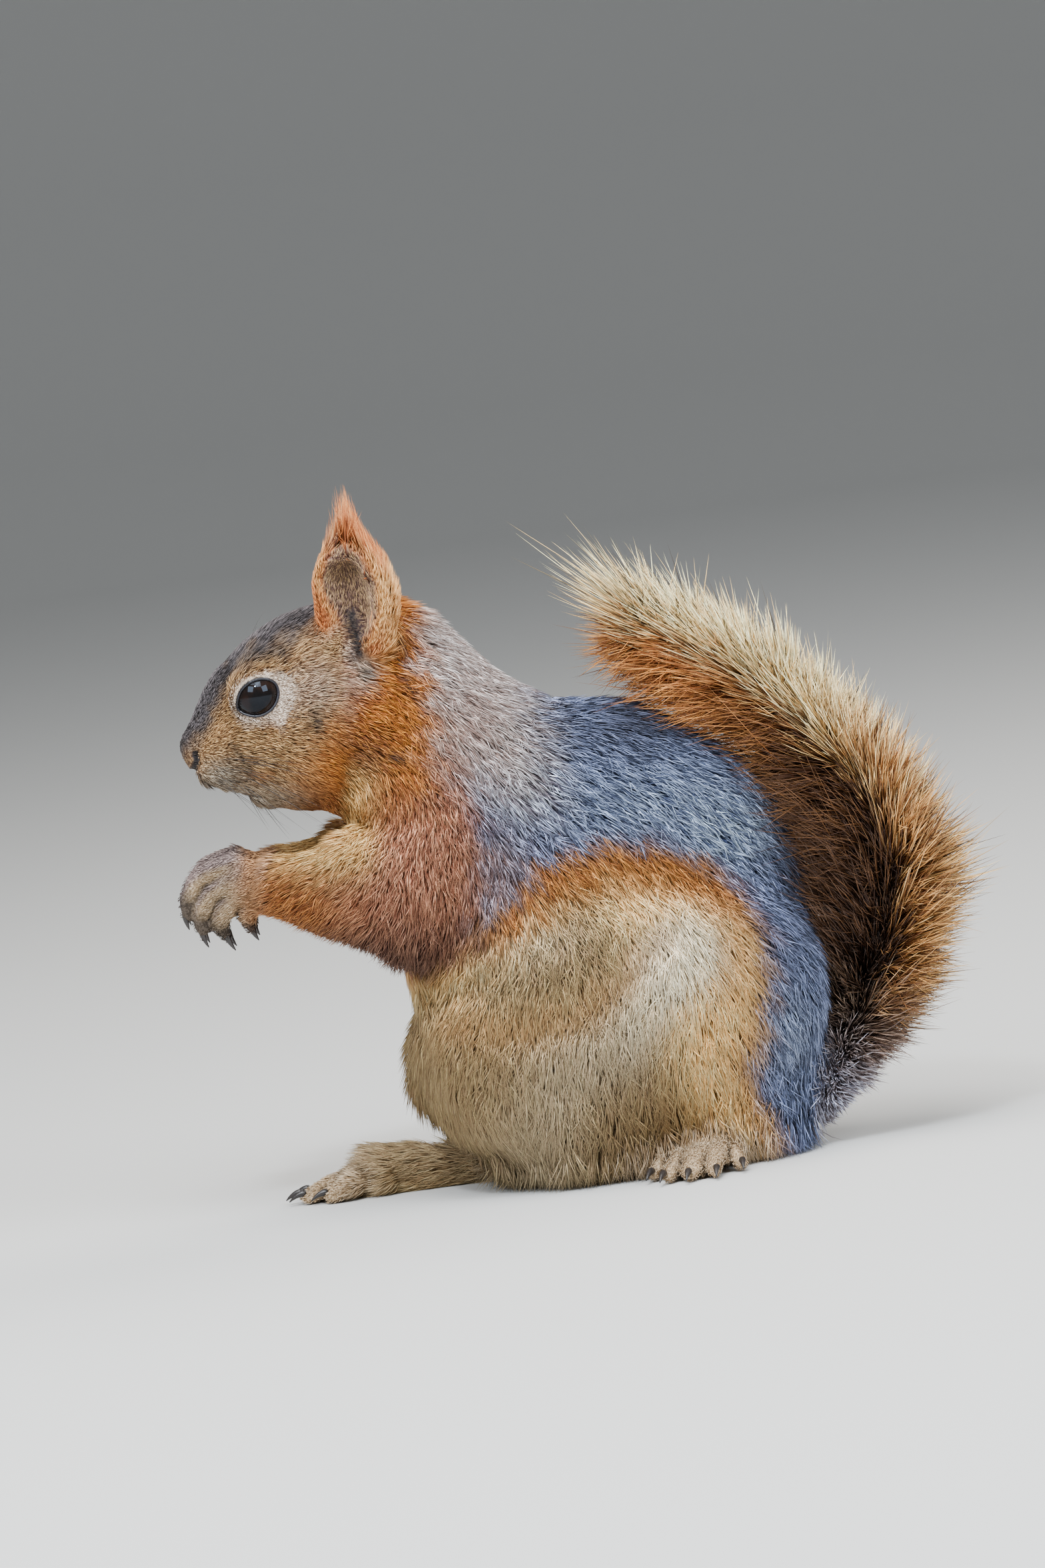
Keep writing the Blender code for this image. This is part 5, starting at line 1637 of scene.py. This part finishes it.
class SQUIRREL_OT_stage(bpy.types.Operator):
    """Set the floor, the backdrop, the lights and the camera"""
    bl_idname = "squirrel.stage"
    bl_label = "Stage"

    def execute(self, context):
        scene = context.scene
        stage, colours = scene.squirrel_stage, scene.squirrel_colours
        material, _, _ = new_material("studio_floor", 0.9, 0.2, colours.floor)
        bm = bmesh.new()
        turns = np.arange(FLOOR_SIDES) * math.tau / FLOOR_SIDES
        rows = [[bm.verts.new((r * math.cos(a), r * math.sin(a), z)) for a in turns] for r, z in FLOOR_PROFILE]
        bm.faces.new(rows[0])
        for row, after in zip(rows, rows[1:]):
            for k in range(FLOOR_SIDES):
                beside = (k + 1) % FLOOR_SIDES
                bm.faces.new((row[k], after[k], after[beside], row[beside]))
        mesh = mesh_of(bm, "floor")
        mesh.shade_smooth()
        mesh.materials.append(material)
        floor = bpy.data.objects.new("floor", mesh)
        scene.collection.objects.link(floor)
        world = bpy.data.worlds.new("studio_sky")
        world.use_nodes = True
        world.node_tree.nodes["Background"].inputs[0].default_value = (0.88, 0.94, 1.0, 1.0)
        world.node_tree.nodes["Background"].inputs[1].default_value = stage.sky
        scene.world = world
        self.lamp("key_light", (-0.15, -0.3, 1.3), 1.0, stage.key, (1.0, 0.98, 0.95))
        for name, place, size, strength in WINDOWS:
            self.lamp("window_light_" + name, place, size, stage.window * strength * size ** 2, (0.84, 0.92, 1.0))
        self.lamp("rim_light", (0.9, 0.5, 0.8), 0.7, stage.rim, (1.0, 0.97, 0.92))
        self.camera(scene, stage)
        return {"FINISHED"}

    @staticmethod
    def lamp(name, place, size, power, colour):
        data = bpy.data.lights.new(name, "AREA")
        data.shape = "SQUARE"
        data.size = size
        data.energy = power
        data.color = colour
        lamp = bpy.data.objects.new(name, data)
        lamp.location = place
        aim = Vector((0, 0, 0.08)) - lamp.location
        lamp.rotation_euler = aim.to_track_quat("-Z", "Y").to_euler()
        bpy.context.scene.collection.objects.link(lamp)

    @staticmethod
    def camera(scene, stage):
        low, high = Vector(CAD_BOX[0]), Vector(CAD_BOX[1])
        target = (low + high) / 2 + Vector((-0.0103, 0.0009, 0.0096))
        tilt = stage.elevation
        right = Vector((1, 0, 0))
        up = Vector((0, math.sin(tilt), math.cos(tilt)))
        ahead = Vector((0, math.cos(tilt), -math.sin(tilt)))
        c, s = math.cos(stage.roll), math.sin(stage.roll)
        across, above = right * c - up * s, right * s + up * c
        data = bpy.data.cameras.new("camera")
        data.lens = stage.lens * 1000
        data.sensor_width = 36.0
        data.clip_end = 50
        camera = bpy.data.objects.new("camera", data)
        camera.matrix_world = Matrix.Translation(target - ahead * stage.distance) @ Matrix(
            (across, above, -ahead)).transposed().to_4x4()
        scene.collection.objects.link(camera)
        scene.camera = camera


class SQUIRREL_PT_panel(bpy.types.Panel):
    """Sizes, colours and pieces of the squirrel"""
    bl_idname = "SQUIRREL_PT_panel"
    bl_label = "Squirrel"
    bl_space_type = "VIEW_3D"
    bl_region_type = "UI"
    bl_category = "Squirrel"

    def draw(self, context):
        for operator in OPERATORS:
            self.layout.operator(operator.bl_idname)
        for group in (context.scene.squirrel_sizes, context.scene.squirrel_stage, context.scene.squirrel_colours):
            box = self.layout.box()
            for key in group.bl_rna.properties.keys():
                if key not in ("rna_type", "name"):
                    box.prop(group, key)


OPERATORS = (
    SQUIRREL_OT_skin, SQUIRREL_OT_coat, SQUIRREL_OT_eyes, SQUIRREL_OT_whiskers, SQUIRREL_OT_claws,
    SQUIRREL_OT_stage,
)
GROUPS = {
    "squirrel_colours": SquirrelColours, "squirrel_sizes": SquirrelSizes, "squirrel_stage": SquirrelStage,
}


def register():
    for item in (*GROUPS.values(), *OPERATORS, SQUIRREL_PT_panel):
        bpy.utils.register_class(item)
    for name, item in GROUPS.items():
        setattr(bpy.types.Scene, name, PointerProperty(type=item))


def unregister():
    for name in GROUPS:
        delattr(bpy.types.Scene, name)
    for item in reversed((*GROUPS.values(), *OPERATORS, SQUIRREL_PT_panel)):
        bpy.utils.unregister_class(item)


def main():
    register()
    bpy.ops.squirrel.skin()
    bpy.ops.squirrel.coat()
    bpy.ops.squirrel.eyes()
    bpy.ops.squirrel.whiskers()
    bpy.ops.squirrel.claws()
    bpy.ops.squirrel.stage()


if __name__ == "__main__":
    main()
